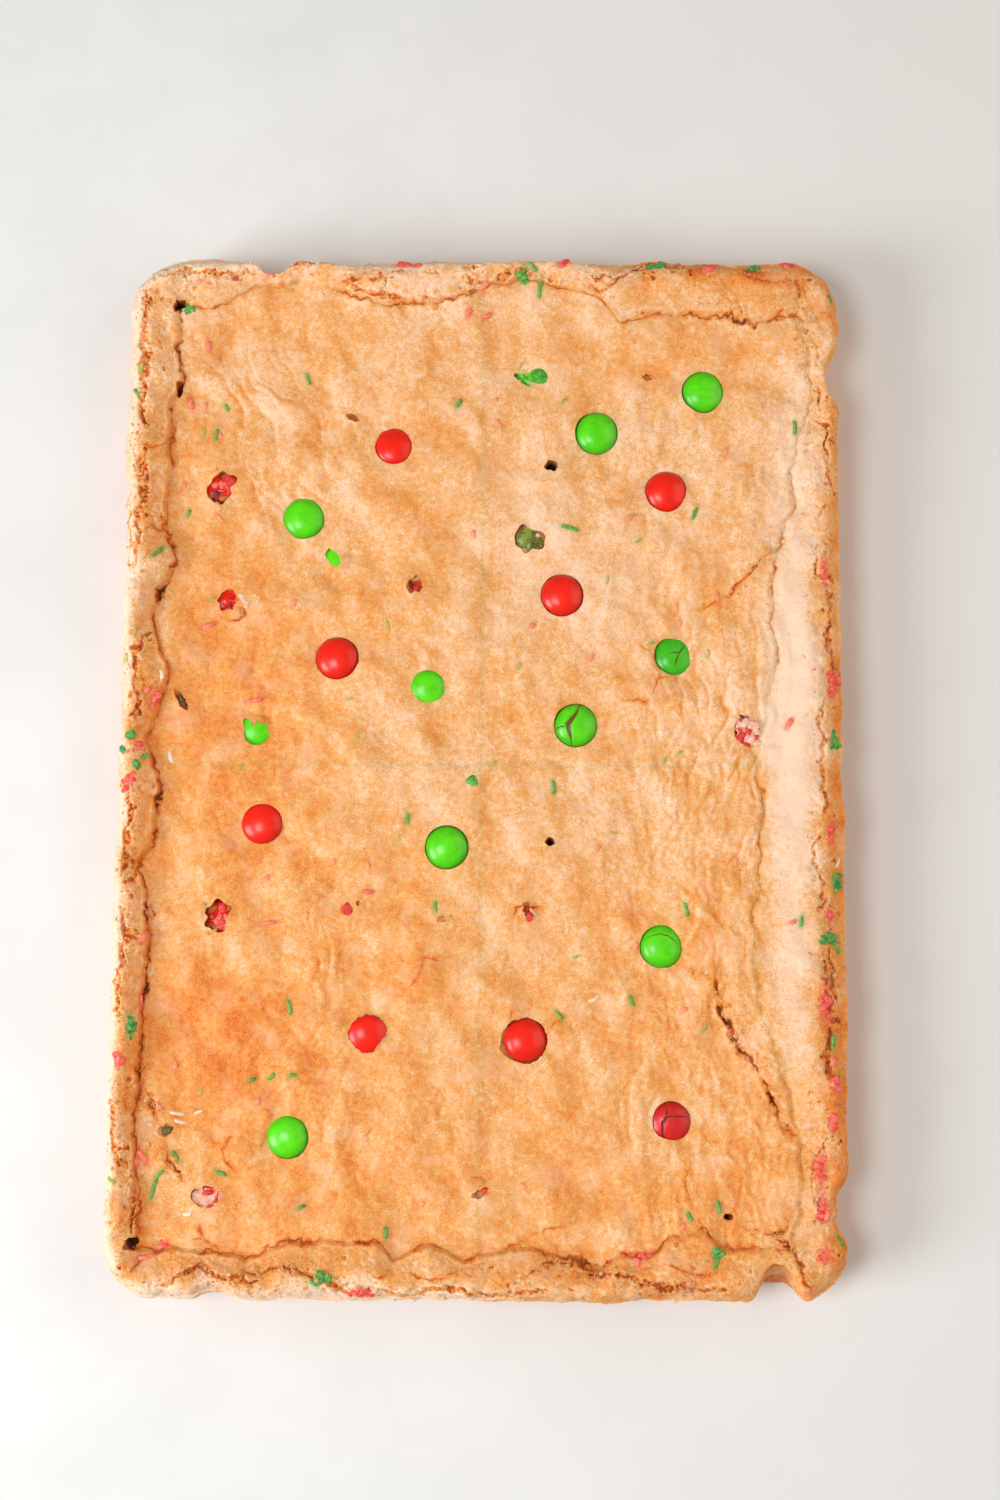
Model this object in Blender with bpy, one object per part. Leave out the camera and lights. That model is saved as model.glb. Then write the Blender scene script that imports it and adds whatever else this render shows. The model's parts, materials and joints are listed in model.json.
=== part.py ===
"""Cookie bar slab: one tray of cookie dough baked in a 13 by 9 inch tin and lifted out whole.

The crust is a single sheet laid over the slab like a cloth. A square grid is mapped, ring by ring, to the
sunken middle, the raised rim, the outer wall and the base. Candy lentils sit in pockets pressed into the
crust, and sugar strands are baked onto it.

Frame: metres, +Z up, origin at the middle of the flat base. The slab is long in Y and wide in X.
Places and sizes below are in millimetres, and MM turns them into metres.
"""

import math

import bmesh
import bpy
import numpy as np
from mathutils import Matrix, Vector
from mathutils.bvhtree import BVHTree

MM = 0.001

# The slab
WIDTH = 229.0
LENGTH = 330.0
MIDDLE_HEIGHT = 19.0
RIM_HEIGHT = 25.5
CORNER_RADIUS = 17.0
WALL_TAPER = 3.5
BASE_ROUND = 2.5
SHOULDER_DROP = 4.0
HALF_WIDTH = WIDTH / 2
HALF_LENGTH = LENGTH / 2

# The sheet's rings, by ring coordinate: 0 to 1 is the middle, 1 the fold at the rim's foot, 2 the outer edge
# at the top of the wall, and 3 the edge of the base. These are the rings near the border.
BORDER_RINGS = (3.0, 2.93, 2.78, 2.4, 2.08, 2.0, 1.85, 1.55, 1.25, 1.08, 1.0, 0.982)
MIDDLE_COLUMNS = 24
MIDDLE_ROWS = 36
CROWDING = 0.8

# How far inside the outer edge the fold runs, as (place along the side, inset)
FOLD_INSET = {
    "left": ((-148, 11), (-135, 11), (-124, 10), (-112, 8), (-98, 10), (-76, 10), (-58, 11), (-40, 10),
             (-31, 7), (-26, 12), (-10, 14), (8, 9), (19, 13), (30, 16), (46, 9), (56, 13), (65, 17),
             (77, 13), (92, 14), (110, 14), (124, 17), (148, 16)),
    "right": ((-148, 17), (-132, 15), (-120, 15), (-100, 19), (-80, 26), (-56, 30), (-40, 27), (-17, 27),
              (-5, 26), (4, 29), (33, 21), (60, 22), (72, 20), (82, 16), (104, 14), (120, 9), (130, 10),
              (148, 13)),
    "bottom": ((-98, 15), (-88, 16), (-69, 13), (-57, 18), (-31, 18), (-26, 13), (-15, 17), (-4, 13),
               (10, 16), (25, 15), (37, 10), (45, 14), (55, 15), (59, 20), (70, 22), (75, 17), (98, 17)),
    "top": ((-98, 16), (-86, 17), (-74, 10), (-60, 7), (-48, 10), (-32, 15), (-18, 14), (-7, 12), (4, 8),
            (14, 6), (28, 9), (38, 13), (44, 20), (60, 18), (74, 18), (86, 21), (98, 18)),
}
# How far the middle's edge rises towards each side, over what distance, and the share of the rest of the
# rim's height that stands as a ledge at the fold
SIDES = {
    "left": {"rise": 0.6, "reach": 18.0, "ledge": 0.5},
    "right": {"rise": 3.6, "reach": 24.0, "ledge": 0.2},
    "bottom": {"rise": 1.6, "reach": 15.0, "ledge": 0.4},
    "top": {"rise": 2.2, "reach": 18.0, "ledge": 0.35},
}
FOLD_CRACK_DEPTH = 1.4

# Dents that pleats pressed into the edge: x, y, half width along the edge, depth at the top, share of it
# left at the base
PLEATS = (
    (-68, 165, 5, 5.0, 0.3),
    (114.5, 127, 8, 4.0, 0.4),
    (114.5, -137, 8, 4.5, 0.3),
    (-80, -165, 5, 2.2, 0.4),
    (-45, 165, 5, 1.2, 0.3),
    (92, -165, 5.5, 11.0, 0.05),
)
# Low mounds over buried candy: x, y, radius, height
MOUNDS = (
    (-40, 4, 7, 1.5),
    (-17, 4, 6, 1.4),
    (-18, -65, 8, 1.6),
    (-73, -121, 7, 1.0),
    (-12, -52, 11, 0.8),
    (28, -112, 16, 0.9),
    (-90, -78, 15, -0.9),
    (48, 100, 18, -0.8),
)
# The long crack at the lower right, whose outer side stands higher
STEP_CRACK = (
    (63, -62), (73, -67), (75, -75), (80, -87), (86, -94), (90, -102), (93, -109), (99, -117), (100, -122),
)
STEP_HEIGHT = 1.3
STEP_WIDTH = 5.0

# Candy lentils
CANDY_RADIUS = 6.8
CANDY_HALF_THICKNESS = 3.4
CANDY_GAP = 0.32
DIMPLE_DEPTH = 0.7
DIMPLE_RADIUS = 9.0
# Lentils that the crust leaves bare: colour, x, y, width that shows, lean towards +X and +Y in degrees
BARE_CANDIES = (
    ("red", -29, 103.5, 11.8, 0, 4),
    ("green", -57.5, 79.7, 12.8, 2, 0),
    ("green", 36.5, 108.5, 13.5, 0, 0),
    ("green", 71, 122, 13.3, 3, 0),
    ("red", 59, 89, 13.3, 0, -3),
    ("red", 25.5, 55, 13.5, -2, 0),
    ("green", 61.5, 35.5, 12.0, 4, 3),
    ("green", 30, 13, 13.5, 0, 2),
    ("red", -46, 34, 13.4, -3, 0),
    ("green", -17.3, 24.5, 10.0, 0, -7),
    ("green", -71.5, 10.3, 9.0, 3, -8),
    ("red", -69, -18.7, 12.5, -4, 2),
    ("green", -10.5, -26, 13.5, 0, 0),
    ("red", -34.5, -84.3, 12.6, 4, -2),
    ("red", 14.5, -86, 13.4, 3, 4),
    ("green", 57, -56.5, 13.2, 0, 3),
    ("red", 59.5, -111, 12.0, -3, -3),
    ("green", -59, -116, 12.9, -4, 0),
    ("red", 83.5, 11, 9.5, -10, 0),
    ("green", -48, 66.5, 8.0, -14, 10),
)
# Lentils in broken pits: colour, x, y, pit width, depth of the lentil's top, lean towards +X and +Y
PIT_CANDIES = (
    ("red", -83.5, 90, 9.5, 0.5, 12, 8),
    ("red", -80, 52, 10.0, 1.0, 14, -6),
    ("red", -81.5, -48, 9.0, 0.8, -12, 10),
    ("red", -83, -133.5, 10.5, 0.6, 8, -8),
    ("green", 15, 73.5, 9.5, 0.9, 6, -10),
    ("green", 16.5, 128, 10.5, 0.5, 12, 0),
)
PIT_FLARE = 1.6
PIT_FLOOR = 3.0

# Sugar strands: x, y and heading in degrees of those that show from a step away
STRAND_LENGTH = 5.6
STRAND_RADIUS = 0.85
STRAND_SHOW = 0.55
STRANDS = (
    (-89, 135, 80), (-94.5, 116.5, 100), (-90, 107, 82), (-94.5, 81, 75), (-84, 78.5, 130), (-103.5, 67.5, 40),
    (-87.5, 44.5, 15), (-71, 20.5, 5), (-57, 126, 110), (-8.5, 117.5, 60), (18.5, 156, 90), (-5, 148, 70),
    (2, 147.5, 40), (4.5, 118, 75), (28, 77, -15), (68, 80, 72), (78, 102, 75), (100.5, 109.5, 90),
    (62.5, 50, 85), (75.5, 54.5, 95), (96, 13.5, 60), (63.5, 4, 30), (23, -8, 100), (42, -21, 0),
    (37, -25.5, 65), (64.5, -45, 108), (97, -49, 20), (-67, -36.5, 35), (-66, -50, 15), (-34.5, -40, 10),
    (-34.5, -32, 110), (-14, -44.5, 95), (-59, -76, 105), (-94, -94, 95), (-93, -108.5, -10),
    (-63.5, -97.5, 30), (-68.5, -105, 80), (-103, -122, -50), (-92.5, -122, -40), (-100, -132, 75),
    (-79, -127, -20), (13, -130.5, -30), (-18, -136, 40), (-28.5, -144.5, 100), (25, -77.5, -35),
    (48, -73, 110), (36, -72.5, 35), (64.5, -139, -55), (74, -136, 95), (-54, -137, 30), (-113, 34, 80),
    (109, -86, 90), (-101, -152, 10), (-47, -158.5, 60), (-35, -162, 5), (71, 162, 20), (12, 161.5, -30),
)

GREEN_CANDY = (0.06, 0.42, 0.01, 1)
RED_CANDY = (0.72, 0.02, 0.01, 1)
CRUST = (0.85, 0.46, 0.19, 1)


def smoothstep(value):
    """0 below 0, 1 above 1, and an S-shaped blend between."""
    value = np.clip(value, 0, 1)
    return value * value * (3 - 2 * value)


def swell(x, y, cell, seed, stretch=1.0):
    """Gradient noise from about -1 to 1: a random slope at each corner of a square lattice, blended smoothly.
    cell is the lattice's size along X, and stretch times that along Y."""
    size = 64
    angle = np.random.default_rng(seed).uniform(0, 2 * np.pi, (size, size))
    gx = x / cell + size / 2
    gy = y / (cell * stretch) + size / 2
    column = np.floor(gx).astype(int)
    row = np.floor(gy).astype(int)
    fx = gx - column
    fy = gy - row

    def corner(dx, dy):
        slope = angle[(row + dy) % size, (column + dx) % size]
        return np.cos(slope) * (fx - dx) + np.sin(slope) * (fy - dy)

    across = smoothstep(fx)
    near = corner(0, 0) * (1 - across) + corner(1, 0) * across
    far = corner(0, 1) * (1 - across) + corner(1, 1) * across
    return 1.5 * (near + (far - near) * smoothstep(fy))


def along(side, place):
    """The fold's inset at places along one side."""
    table = np.array(FOLD_INSET[side], float)
    return np.interp(place, table[:, 0], table[:, 1])


def sheet_places(u, v):
    """x, y, the outward direction and the outer edge's place for each grid point.
    A point beyond |u| or |v| of 1 lies on a ring: straight beside a side, and turned about the corner's
    centre in a corner, by the share that one coordinate is of the other."""
    ring = np.maximum(np.abs(u), np.abs(v))
    over_u = np.maximum(np.abs(u) - 1, 0)
    over_v = np.maximum(np.abs(v) - 1, 0)
    reach = np.maximum(np.maximum(over_u, over_v), 1e-9)
    turn = np.where(over_u >= over_v, over_v / reach, 2 - over_u / reach) * math.pi / 4
    out_x = np.where(ring > 1, np.cos(turn), 0) * np.sign(u)
    out_y = np.where(ring > 1, np.sin(turn), 0) * np.sign(v)
    core_x = np.clip(u, -1, 1) * (HALF_WIDTH - CORNER_RADIUS)
    core_y = np.clip(v, -1, 1) * (HALF_LENGTH - CORNER_RADIUS)
    radius = CORNER_RADIUS * np.clip(ring - 1, 0, 1)
    x = core_x + out_x * radius
    y = core_y + out_y * radius
    edge_x = core_x + out_x * CORNER_RADIUS
    edge_y = core_y + out_y * CORNER_RADIUS
    pull_x = fold_pull(u, v) * (CORNER_RADIUS - np.where(u > 0, along("right", y), along("left", y)))
    pull_y = fold_pull(v, u) * (CORNER_RADIUS - np.where(v > 0, along("top", x), along("bottom", x)))
    return x + np.sign(u) * pull_x, y + np.sign(v) * pull_y, out_x, out_y, edge_x, edge_y


def fold_pull(across, other):
    """How much of the fold's wander a grid point takes: all at the fold, fading to the edge and the middle."""
    across = np.abs(across)
    inwards = smoothstep((across - 0.5) / 0.5)
    return np.where(across > 1, np.clip(2 - across, 0, 1), inwards) * np.clip(2 - np.abs(other), 0, 1)


def distance_to(route, x, y):
    """Signed distance from each point to a route, positive on its right, and the share of its length there."""
    route = np.array(route, float)
    nearest = np.full(x.shape, 1e9)
    signed = np.full(x.shape, 1e9)
    share = np.zeros(x.shape)
    for n, (a, b) in enumerate(zip(route[:-1], route[1:])):
        step = b - a
        part = np.clip(((x - a[0]) * step[0] + (y - a[1]) * step[1]) / (step @ step), 0, 1)
        dx = x - a[0] - part * step[0]
        dy = y - a[1] - part * step[1]
        gap = np.hypot(dx, dy)
        closer = gap < nearest
        nearest = np.where(closer, gap, nearest)
        signed = np.where(closer, gap * np.sign(dx * step[1] - dy * step[0]), signed)
        share = np.where(closer, (n + part) / (len(route) - 1), share)
    return signed, share


def middle_height(x, y):
    """Height of the sunken middle: swells and wrinkles, rising towards each side, with mounds and dimples."""
    height = MIDDLE_HEIGHT + 0.9 * swell(x, y, 42, 3) + 0.5 * swell(x, y, 19, 5)
    wrinkled = smoothstep((x - 20) / 40)
    height += 0.55 * wrinkled * (1 - 2.2 * np.abs(swell(x + 0.12 * y, y, 9, 8, 2.6)))
    gaps = {
        "left": x + HALF_WIDTH - along("left", y),
        "right": HALF_WIDTH - along("right", y) - x,
        "bottom": y + HALF_LENGTH - along("bottom", x),
        "top": HALF_LENGTH - along("top", x) - y,
    }
    for side, gap in gaps.items():
        height += SIDES[side]["rise"] * np.exp(-((np.maximum(gap, 0) / SIDES[side]["reach"]) ** 2))
    for mound_x, mound_y, radius, rise in MOUNDS:
        height += rise * np.exp(-((x - mound_x) ** 2 + (y - mound_y) ** 2) / radius**2)
    gap, share = distance_to(STEP_CRACK, x, y)
    height -= STEP_HEIGHT * np.sin(math.pi * share) * np.tanh(gap / STEP_WIDTH) * np.exp(-np.abs(gap) / 14)
    for candy in BARE_CANDIES:
        reach = ((x - candy[1]) ** 2 + (y - candy[2]) ** 2) / DIMPLE_RADIUS**2
        height -= DIMPLE_DEPTH * np.exp(-reach)
    return height


def rim_lift(ring, x, y, out_x, out_y, base):
    """What the rim adds to the middle's height: a ledge at the fold, a crest, and a rounded shoulder."""
    weights = {
        "left": np.maximum(-out_x, 0) ** 2,
        "right": np.maximum(out_x, 0) ** 2,
        "bottom": np.maximum(-out_y, 0) ** 2,
        "top": np.maximum(out_y, 0) ** 2,
    }
    ledge = sum(weights[side] * SIDES[side]["ledge"] for side in SIDES)
    crest = RIM_HEIGHT + 1.1 * swell(x, y, 31, 12) + 0.8 * swell(x, y, 12, 13)
    t = np.clip(ring - 1, 0, 1)
    climb = ledge * smoothstep(t / 0.09) + (1 - ledge) * smoothstep((t - 0.05) / 0.5)
    crags = 0.9 * swell(x, y, 7, 17) * smoothstep(t / 0.3) * smoothstep((1.1 - t) / 0.3)
    shoulder = SHOULDER_DROP * smoothstep((t - 0.55) / 0.45) ** 2
    return np.where(ring > 1, (crest - base) * climb + crags - shoulder, 0)


def crust_sheet(u, v):
    """The slab's whole outer surface but its base, as points for grid coordinates u and v.
    Height falls down the wall in proportion to the ring coordinate, and pleats and a taper draw it inwards."""
    ring = np.maximum(np.abs(u), np.abs(v))
    x, y, out_x, out_y, edge_x, edge_y = sheet_places(u, v)
    base = middle_height(x, y)
    height = base + rim_lift(ring, x, y, out_x, out_y, base)
    height -= FOLD_CRACK_DEPTH * np.exp(-(((ring - 1) / 0.02) ** 2))
    down = np.clip(ring - 2, 0, 1)
    outer = smoothstep((ring - 1.15) / 0.85)
    dent = -0.9 * swell(edge_x, edge_y, 24, 21) - 0.4 * swell(edge_x, edge_y, 9, 22)
    for pleat_x, pleat_y, half_width, depth, left in PLEATS:
        reach = ((edge_x - pleat_x) ** 2 + (edge_y - pleat_y) ** 2) / half_width**2
        dent += depth * (1 - (1 - left) * down) * np.exp(-(reach**1.5))
        height -= 0.18 * depth * outer * (1 - down) * np.exp(-(reach**1.5))
    dent = dent * outer + WALL_TAPER * down + BASE_ROUND * smoothstep((down - 0.86) / 0.14) ** 2
    return x - out_x * dent, y - out_y * dent, height * (1 - down)


def grid_line(middle):
    """Grid coordinates from -3 to 3: the border rings at both ends, and the middle's lines between, which
    crowd towards the rim by a sine."""
    border = np.array(BORDER_RINGS)
    inner = np.sin(np.linspace(-1, 1, middle + 1) * math.pi / 2 * CROWDING) / math.sin(math.pi / 2 * CROWDING)
    return np.concatenate([-border, inner[1:-1] * border[-1], border[::-1]])


def material(name, colour, roughness):
    """A Principled material of one colour."""
    made = bpy.data.materials.new(name)
    made.use_nodes = True
    shader = made.node_tree.nodes["Principled BSDF"]
    shader.inputs["Base Color"].default_value = colour
    shader.inputs["Roughness"].default_value = roughness
    made.diffuse_color = colour
    return made


def new_object(name, bm, collection, finish=None):
    """An object of that name from a bmesh, which is freed."""
    mesh = bpy.data.meshes.new(name)
    bm.to_mesh(mesh)
    bm.free()
    made = bpy.data.objects.new(name, mesh)
    collection.objects.link(made)
    if finish:
        mesh.materials.append(finish)
    return made


def make_slab(collection, finish):
    """The slab: a grid laid over it by crust_sheet, and its base closed by a fan about the middle."""
    columns = grid_line(MIDDLE_COLUMNS)
    rows = grid_line(MIDDLE_ROWS)
    bm = bmesh.new()
    bmesh.ops.create_grid(bm, x_segments=len(columns) - 1, y_segments=len(rows) - 1, size=1)
    places = np.array([vertex.co[:2] for vertex in bm.verts])
    column = np.rint((places[:, 0] + 1) / 2 * (len(columns) - 1)).astype(int)
    row = np.rint((places[:, 1] + 1) / 2 * (len(rows) - 1)).astype(int)
    points = np.stack(crust_sheet(columns[column], rows[row]), axis=1) * MM
    for vertex, point in zip(bm.verts, points):
        vertex.co = point
    border = [edge for edge in bm.edges if edge.is_boundary]
    base = bmesh.ops.contextual_create(bm, geom=border)["faces"]
    bmesh.ops.poke(bm, faces=base)
    bmesh.ops.triangulate(bm, faces=bm.faces[:], quad_method="SHORT_EDGE")
    bmesh.ops.recalc_face_normals(bm, faces=bm.faces[:])
    return new_object("slab", bm, collection, finish)


def lentil(bm, radius, half_thickness, placed):
    """A flattened ball, the shape of a sugar-shelled chocolate lentil."""
    squash = Matrix.Diagonal((radius, radius, half_thickness, 1))
    bmesh.ops.create_uvsphere(bm, u_segments=11, v_segments=6, radius=MM, matrix=placed @ squash)


def leaned(x, y, z, lean_x, lean_y):
    """The placing of a lentil, leaned towards +X and then +Y by so many degrees."""
    lean = Matrix.Rotation(math.radians(lean_x), 4, "Y") @ Matrix.Rotation(math.radians(-lean_y), 4, "X")
    return Matrix.Translation(Vector((x, y, z)) * MM) @ lean


def crust_height(x, y):
    """The middle's height at one place."""
    return float(middle_height(np.array([float(x)]), np.array([float(y)]))[0])


def candy_places():
    """Name, colour and placing of every lentil, and the pit over it as (x, y, width) or None."""
    for number, (colour, x, y, shows, lean_x, lean_y) in enumerate(BARE_CANDIES, 1):
        above = CANDY_HALF_THICKNESS * math.sqrt(1 - min(shows / 2 / CANDY_RADIUS, 1) ** 2)
        yield f"candy_{number:02d}", colour, leaned(x, y, crust_height(x, y) - above, lean_x, lean_y), None
    for number, (colour, x, y, width, depth, lean_x, lean_y) in enumerate(PIT_CANDIES, 1):
        z = crust_height(x, y) - depth - CANDY_HALF_THICKNESS
        yield f"pit_candy_{number:02d}", colour, leaned(x, y, z, lean_x, lean_y), (x, y, width)


def make_candies(parts, cutters, finishes):
    """Every lentil as its own object, and the slightly larger cutter that makes its pocket."""
    for name, colour, placed, pit in candy_places():
        bm = bmesh.new()
        lentil(bm, CANDY_RADIUS, CANDY_HALF_THICKNESS, placed)
        candy = new_object(name, bm, parts, finishes[colour])
        candy.data.shade_smooth()
        bm = bmesh.new()
        lentil(bm, CANDY_RADIUS + CANDY_GAP, CANDY_HALF_THICKNESS + CANDY_GAP, placed)
        new_object(f"pocket_{name}", bm, cutters)
        if pit:
            make_pit(*pit, cutters)


def make_pit(x, y, width, cutters):
    """A pit's cutter: a cone that flares upwards from the buried lentil."""
    height = 2 * PIT_FLOOR
    bm = bmesh.new()
    bmesh.ops.create_cone(
        bm,
        cap_ends=True,
        segments=9,
        radius1=(width / 2 - PIT_FLARE) * MM,
        radius2=(width / 2 + PIT_FLARE) * MM,
        depth=height * MM,
        matrix=Matrix.Translation(Vector((x, y, crust_height(x, y))) * MM),
    )
    new_object("pit", bm, cutters)


def make_strands(surface, collection):
    """Sugar strands lying along the crust, each a six-sided rod sunk until only its back shows."""
    for x, y, heading in STRANDS:
        hit, normal, _, _ = surface.ray_cast(Vector((x * MM, y * MM, 0.1)), Vector((0, 0, -1)))
        ahead = Vector((math.cos(math.radians(heading)), math.sin(math.radians(heading)), 0))
        ahead = (ahead - normal * ahead.dot(normal)).normalized()
        middle = hit + normal * (STRAND_SHOW - STRAND_RADIUS) * MM
        placed = Matrix.Translation(middle) @ ahead.to_track_quat("Z", "X").to_matrix().to_4x4()
        bm = bmesh.new()
        bmesh.ops.create_cone(
            bm,
            cap_ends=True,
            segments=6,
            radius1=STRAND_RADIUS * MM,
            radius2=STRAND_RADIUS * MM,
            depth=STRAND_LENGTH * MM,
            matrix=placed,
        )
        new_object("strand", bm, collection)


def boolean(target, operation, collection):
    """Applies one Boolean of a whole collection to the target, and removes the collection's objects."""
    modifier = target.modifiers.new(collection.name, "BOOLEAN")
    modifier.operation = operation
    modifier.operand_type = "COLLECTION"
    modifier.collection = collection
    modifier.solver = "EXACT"
    graph = bpy.context.evaluated_depsgraph_get()
    mesh = bpy.data.meshes.new_from_object(target.evaluated_get(graph))
    target.modifiers.clear()
    target.data = mesh
    for helper in list(collection.objects):
        bpy.data.objects.remove(helper)
    bpy.data.collections.remove(collection)


def new_collection(name):
    """A collection linked to the scene."""
    made = bpy.data.collections.new(name)
    bpy.context.scene.collection.children.link(made)
    return made


def main():
    for old in list(bpy.data.objects):
        bpy.data.objects.remove(old)
    parts = new_collection("cookie_bar_slab")
    pockets = new_collection("pockets")
    strands = new_collection("strands")
    finishes = {
        "red": material("red_candy", RED_CANDY, 0.25),
        "green": material("green_candy", GREEN_CANDY, 0.25),
    }
    slab = make_slab(parts, material("crust", CRUST, 0.8))
    make_candies(parts, pockets, finishes)
    bpy.context.view_layer.update()
    boolean(slab, "DIFFERENCE", pockets)
    bpy.context.view_layer.update()
    surface = BVHTree.FromObject(slab, bpy.context.evaluated_depsgraph_get())
    make_strands(surface, strands)
    bpy.context.view_layer.update()
    boolean(slab, "UNION", strands)


main()
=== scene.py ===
import json
import math

import bpy
import numpy as np
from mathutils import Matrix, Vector
from mathutils.bvhtree import BVHTree


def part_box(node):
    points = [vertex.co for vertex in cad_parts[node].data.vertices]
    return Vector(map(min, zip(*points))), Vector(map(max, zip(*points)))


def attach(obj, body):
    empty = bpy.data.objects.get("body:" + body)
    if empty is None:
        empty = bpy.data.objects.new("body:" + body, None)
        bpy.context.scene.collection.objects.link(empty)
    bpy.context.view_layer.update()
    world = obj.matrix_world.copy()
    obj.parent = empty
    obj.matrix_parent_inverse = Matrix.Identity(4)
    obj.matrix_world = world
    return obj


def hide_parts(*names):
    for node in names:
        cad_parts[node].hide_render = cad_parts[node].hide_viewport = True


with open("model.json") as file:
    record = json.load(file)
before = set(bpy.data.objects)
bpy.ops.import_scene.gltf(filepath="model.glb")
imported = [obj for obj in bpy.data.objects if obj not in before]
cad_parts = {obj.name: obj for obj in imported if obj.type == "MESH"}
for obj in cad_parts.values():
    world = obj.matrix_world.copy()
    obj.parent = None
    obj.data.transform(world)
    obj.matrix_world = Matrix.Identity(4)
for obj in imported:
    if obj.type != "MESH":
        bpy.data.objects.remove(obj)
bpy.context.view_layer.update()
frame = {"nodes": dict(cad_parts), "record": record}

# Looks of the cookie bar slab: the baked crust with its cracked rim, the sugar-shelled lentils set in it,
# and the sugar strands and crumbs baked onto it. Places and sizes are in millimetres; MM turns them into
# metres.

MM = 0.001

# ---------------------------------------------------------------- the slab's form, as the solid has it

WIDTH = 229.0
LENGTH = 330.0
MIDDLE_HEIGHT = 19.0
RIM_HEIGHT = 25.5
CORNER_RADIUS = 17.0
WALL_TAPER = 3.5
BASE_ROUND = 2.5
SHOULDER_DROP = 4.0
HALF_WIDTH = WIDTH / 2
HALF_LENGTH = LENGTH / 2

# How far inside the outer edge the rim's fold runs, as (place along the side, inset)
FOLD_INSET = {
    "left": ((-148, 11), (-135, 11), (-124, 10), (-112, 8), (-98, 10), (-76, 10), (-58, 11), (-40, 10),
             (-31, 7), (-26, 12), (-10, 14), (8, 9), (19, 13), (30, 16), (46, 9), (56, 13), (65, 17),
             (77, 13), (92, 14), (110, 14), (124, 17), (148, 16)),
    "right": ((-148, 17), (-132, 15), (-120, 15), (-100, 19), (-80, 26), (-56, 30), (-40, 27), (-17, 27),
              (-5, 26), (4, 29), (33, 21), (60, 22), (72, 20), (82, 16), (104, 14), (120, 9), (130, 10),
              (148, 13)),
    "bottom": ((-98, 15), (-88, 16), (-69, 13), (-57, 18), (-31, 18), (-26, 13), (-15, 17), (-4, 13),
               (10, 16), (25, 15), (37, 10), (45, 14), (55, 15), (59, 20), (70, 22), (75, 17), (98, 17)),
    "top": ((-98, 16), (-86, 17), (-74, 10), (-60, 7), (-48, 10), (-32, 15), (-18, 14), (-7, 12), (4, 8),
            (14, 6), (28, 9), (38, 13), (44, 20), (60, 18), (74, 18), (86, 21), (98, 18)),
}
# How far the middle's edge rises towards each side, over what distance, and the share of the rest of the
# rim's height that stands as a ledge at the fold
SIDES = {
    "left": {"rise": 0.6, "reach": 18.0, "ledge": 0.5},
    "right": {"rise": 3.6, "reach": 24.0, "ledge": 0.2},
    "bottom": {"rise": 1.6, "reach": 15.0, "ledge": 0.4},
    "top": {"rise": 2.2, "reach": 18.0, "ledge": 0.35},
}
# Dents that pleats pressed into the edge: x, y, half width, depth at the top, share left at the base
PLEATS = (
    (-68, 165, 5, 5.0, 0.3),
    (114.5, 127, 8, 4.0, 0.4),
    (114.5, -137, 8, 4.5, 0.3),
    (-80, -165, 5, 2.2, 0.4),
    (-45, 165, 5, 1.2, 0.3),
    (92, -165, 5.5, 11.0, 0.05),
)
# Low mounds over buried candy: x, y, radius, height
MOUNDS = (
    (-40, 4, 7, 1.5),
    (-17, 4, 6, 1.4),
    (-18, -65, 8, 1.6),
    (-73, -121, 7, 1.0),
    (-12, -52, 11, 0.8),
    (28, -112, 16, 0.9),
    (-90, -78, 15, -0.9),
    (48, 100, 18, -0.8),
)
# The long crack at the lower right, whose outer side stands higher
STEP_CRACK = (
    (63, -62), (73, -67), (75, -75), (80, -87), (86, -94), (90, -102), (93, -109), (99, -117), (100, -122),
)
STEP_HEIGHT = 1.3
STEP_WIDTH = 5.0
# The dimple in the crust round each bare lentil, and the lentils themselves
DIMPLE_DEPTH = 0.7
DIMPLE_RADIUS = 9.0
CANDY_RADIUS = 6.8
CANDY_HALF_THICKNESS = 3.4

# ---------------------------------------------------------------- what the photo shows on it

# How wide the crack at the rim's fold gapes, as (place along the side, width)
FOLD_GAPE = {
    "left": ((-150, 1.3), (-141, 0.5), (-124, 0.4), (-110, 0.6), (-98, 0.7), (-76, 0.9), (-68, 1.6),
             (-57, 0.7), (-42, 1.6), (-31, 0.5), (-15, 1.5), (0, 0.6), (10, 0.3), (25, 0.4), (36, 0.5),
             (50, 0.7), (55, 1.4), (61, 0.6), (67, 1.4), (77, 0.5), (92, 0.6), (110, 0.6), (120, 1.6),
             (132, 0.6), (143, 0.8), (149, 1.8)),
    "right": ((-148, 0), (-95, 0), (-62, 0.1), (-45, 0.45), (-36, 0.15), (-32, 0.45), (-18, 0.4),
              (-14, 0.05), (-12, 0.45), (-3, 0.4), (1, 0), (28, 0), (34, 0.35), (44, 0.5), (56, 0.7),
              (66, 0.8), (74, 0.5), (96, 0.6), (106, 0.4), (112, 0.2), (148, 0.2)),
    "bottom": ((-98, 0.9), (-77, 0.8), (-60, 0.6), (-45, 0.7), (-29, 0.6), (-12, 0.5), (10, 0.4),
               (28, 0.6), (36, 1.3), (45, 0.8), (60, 0.7), (73, 0.5), (85, 0.25), (98, 0.25)),
    "top": ((-98, 1.0), (-88, 0.6), (-80, 0.35), (-74, 0), (-54, 0), (-47, 0.35), (-40, 0.5), (-30, 0.6),
            (-12, 0.5), (5, 0.5), (20, 0.3), (35, 0.2), (42, 0.35), (60, 0.6), (76, 0.9), (84, 1.3),
            (93, 1.1), (98, 0.8)),
}
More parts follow.
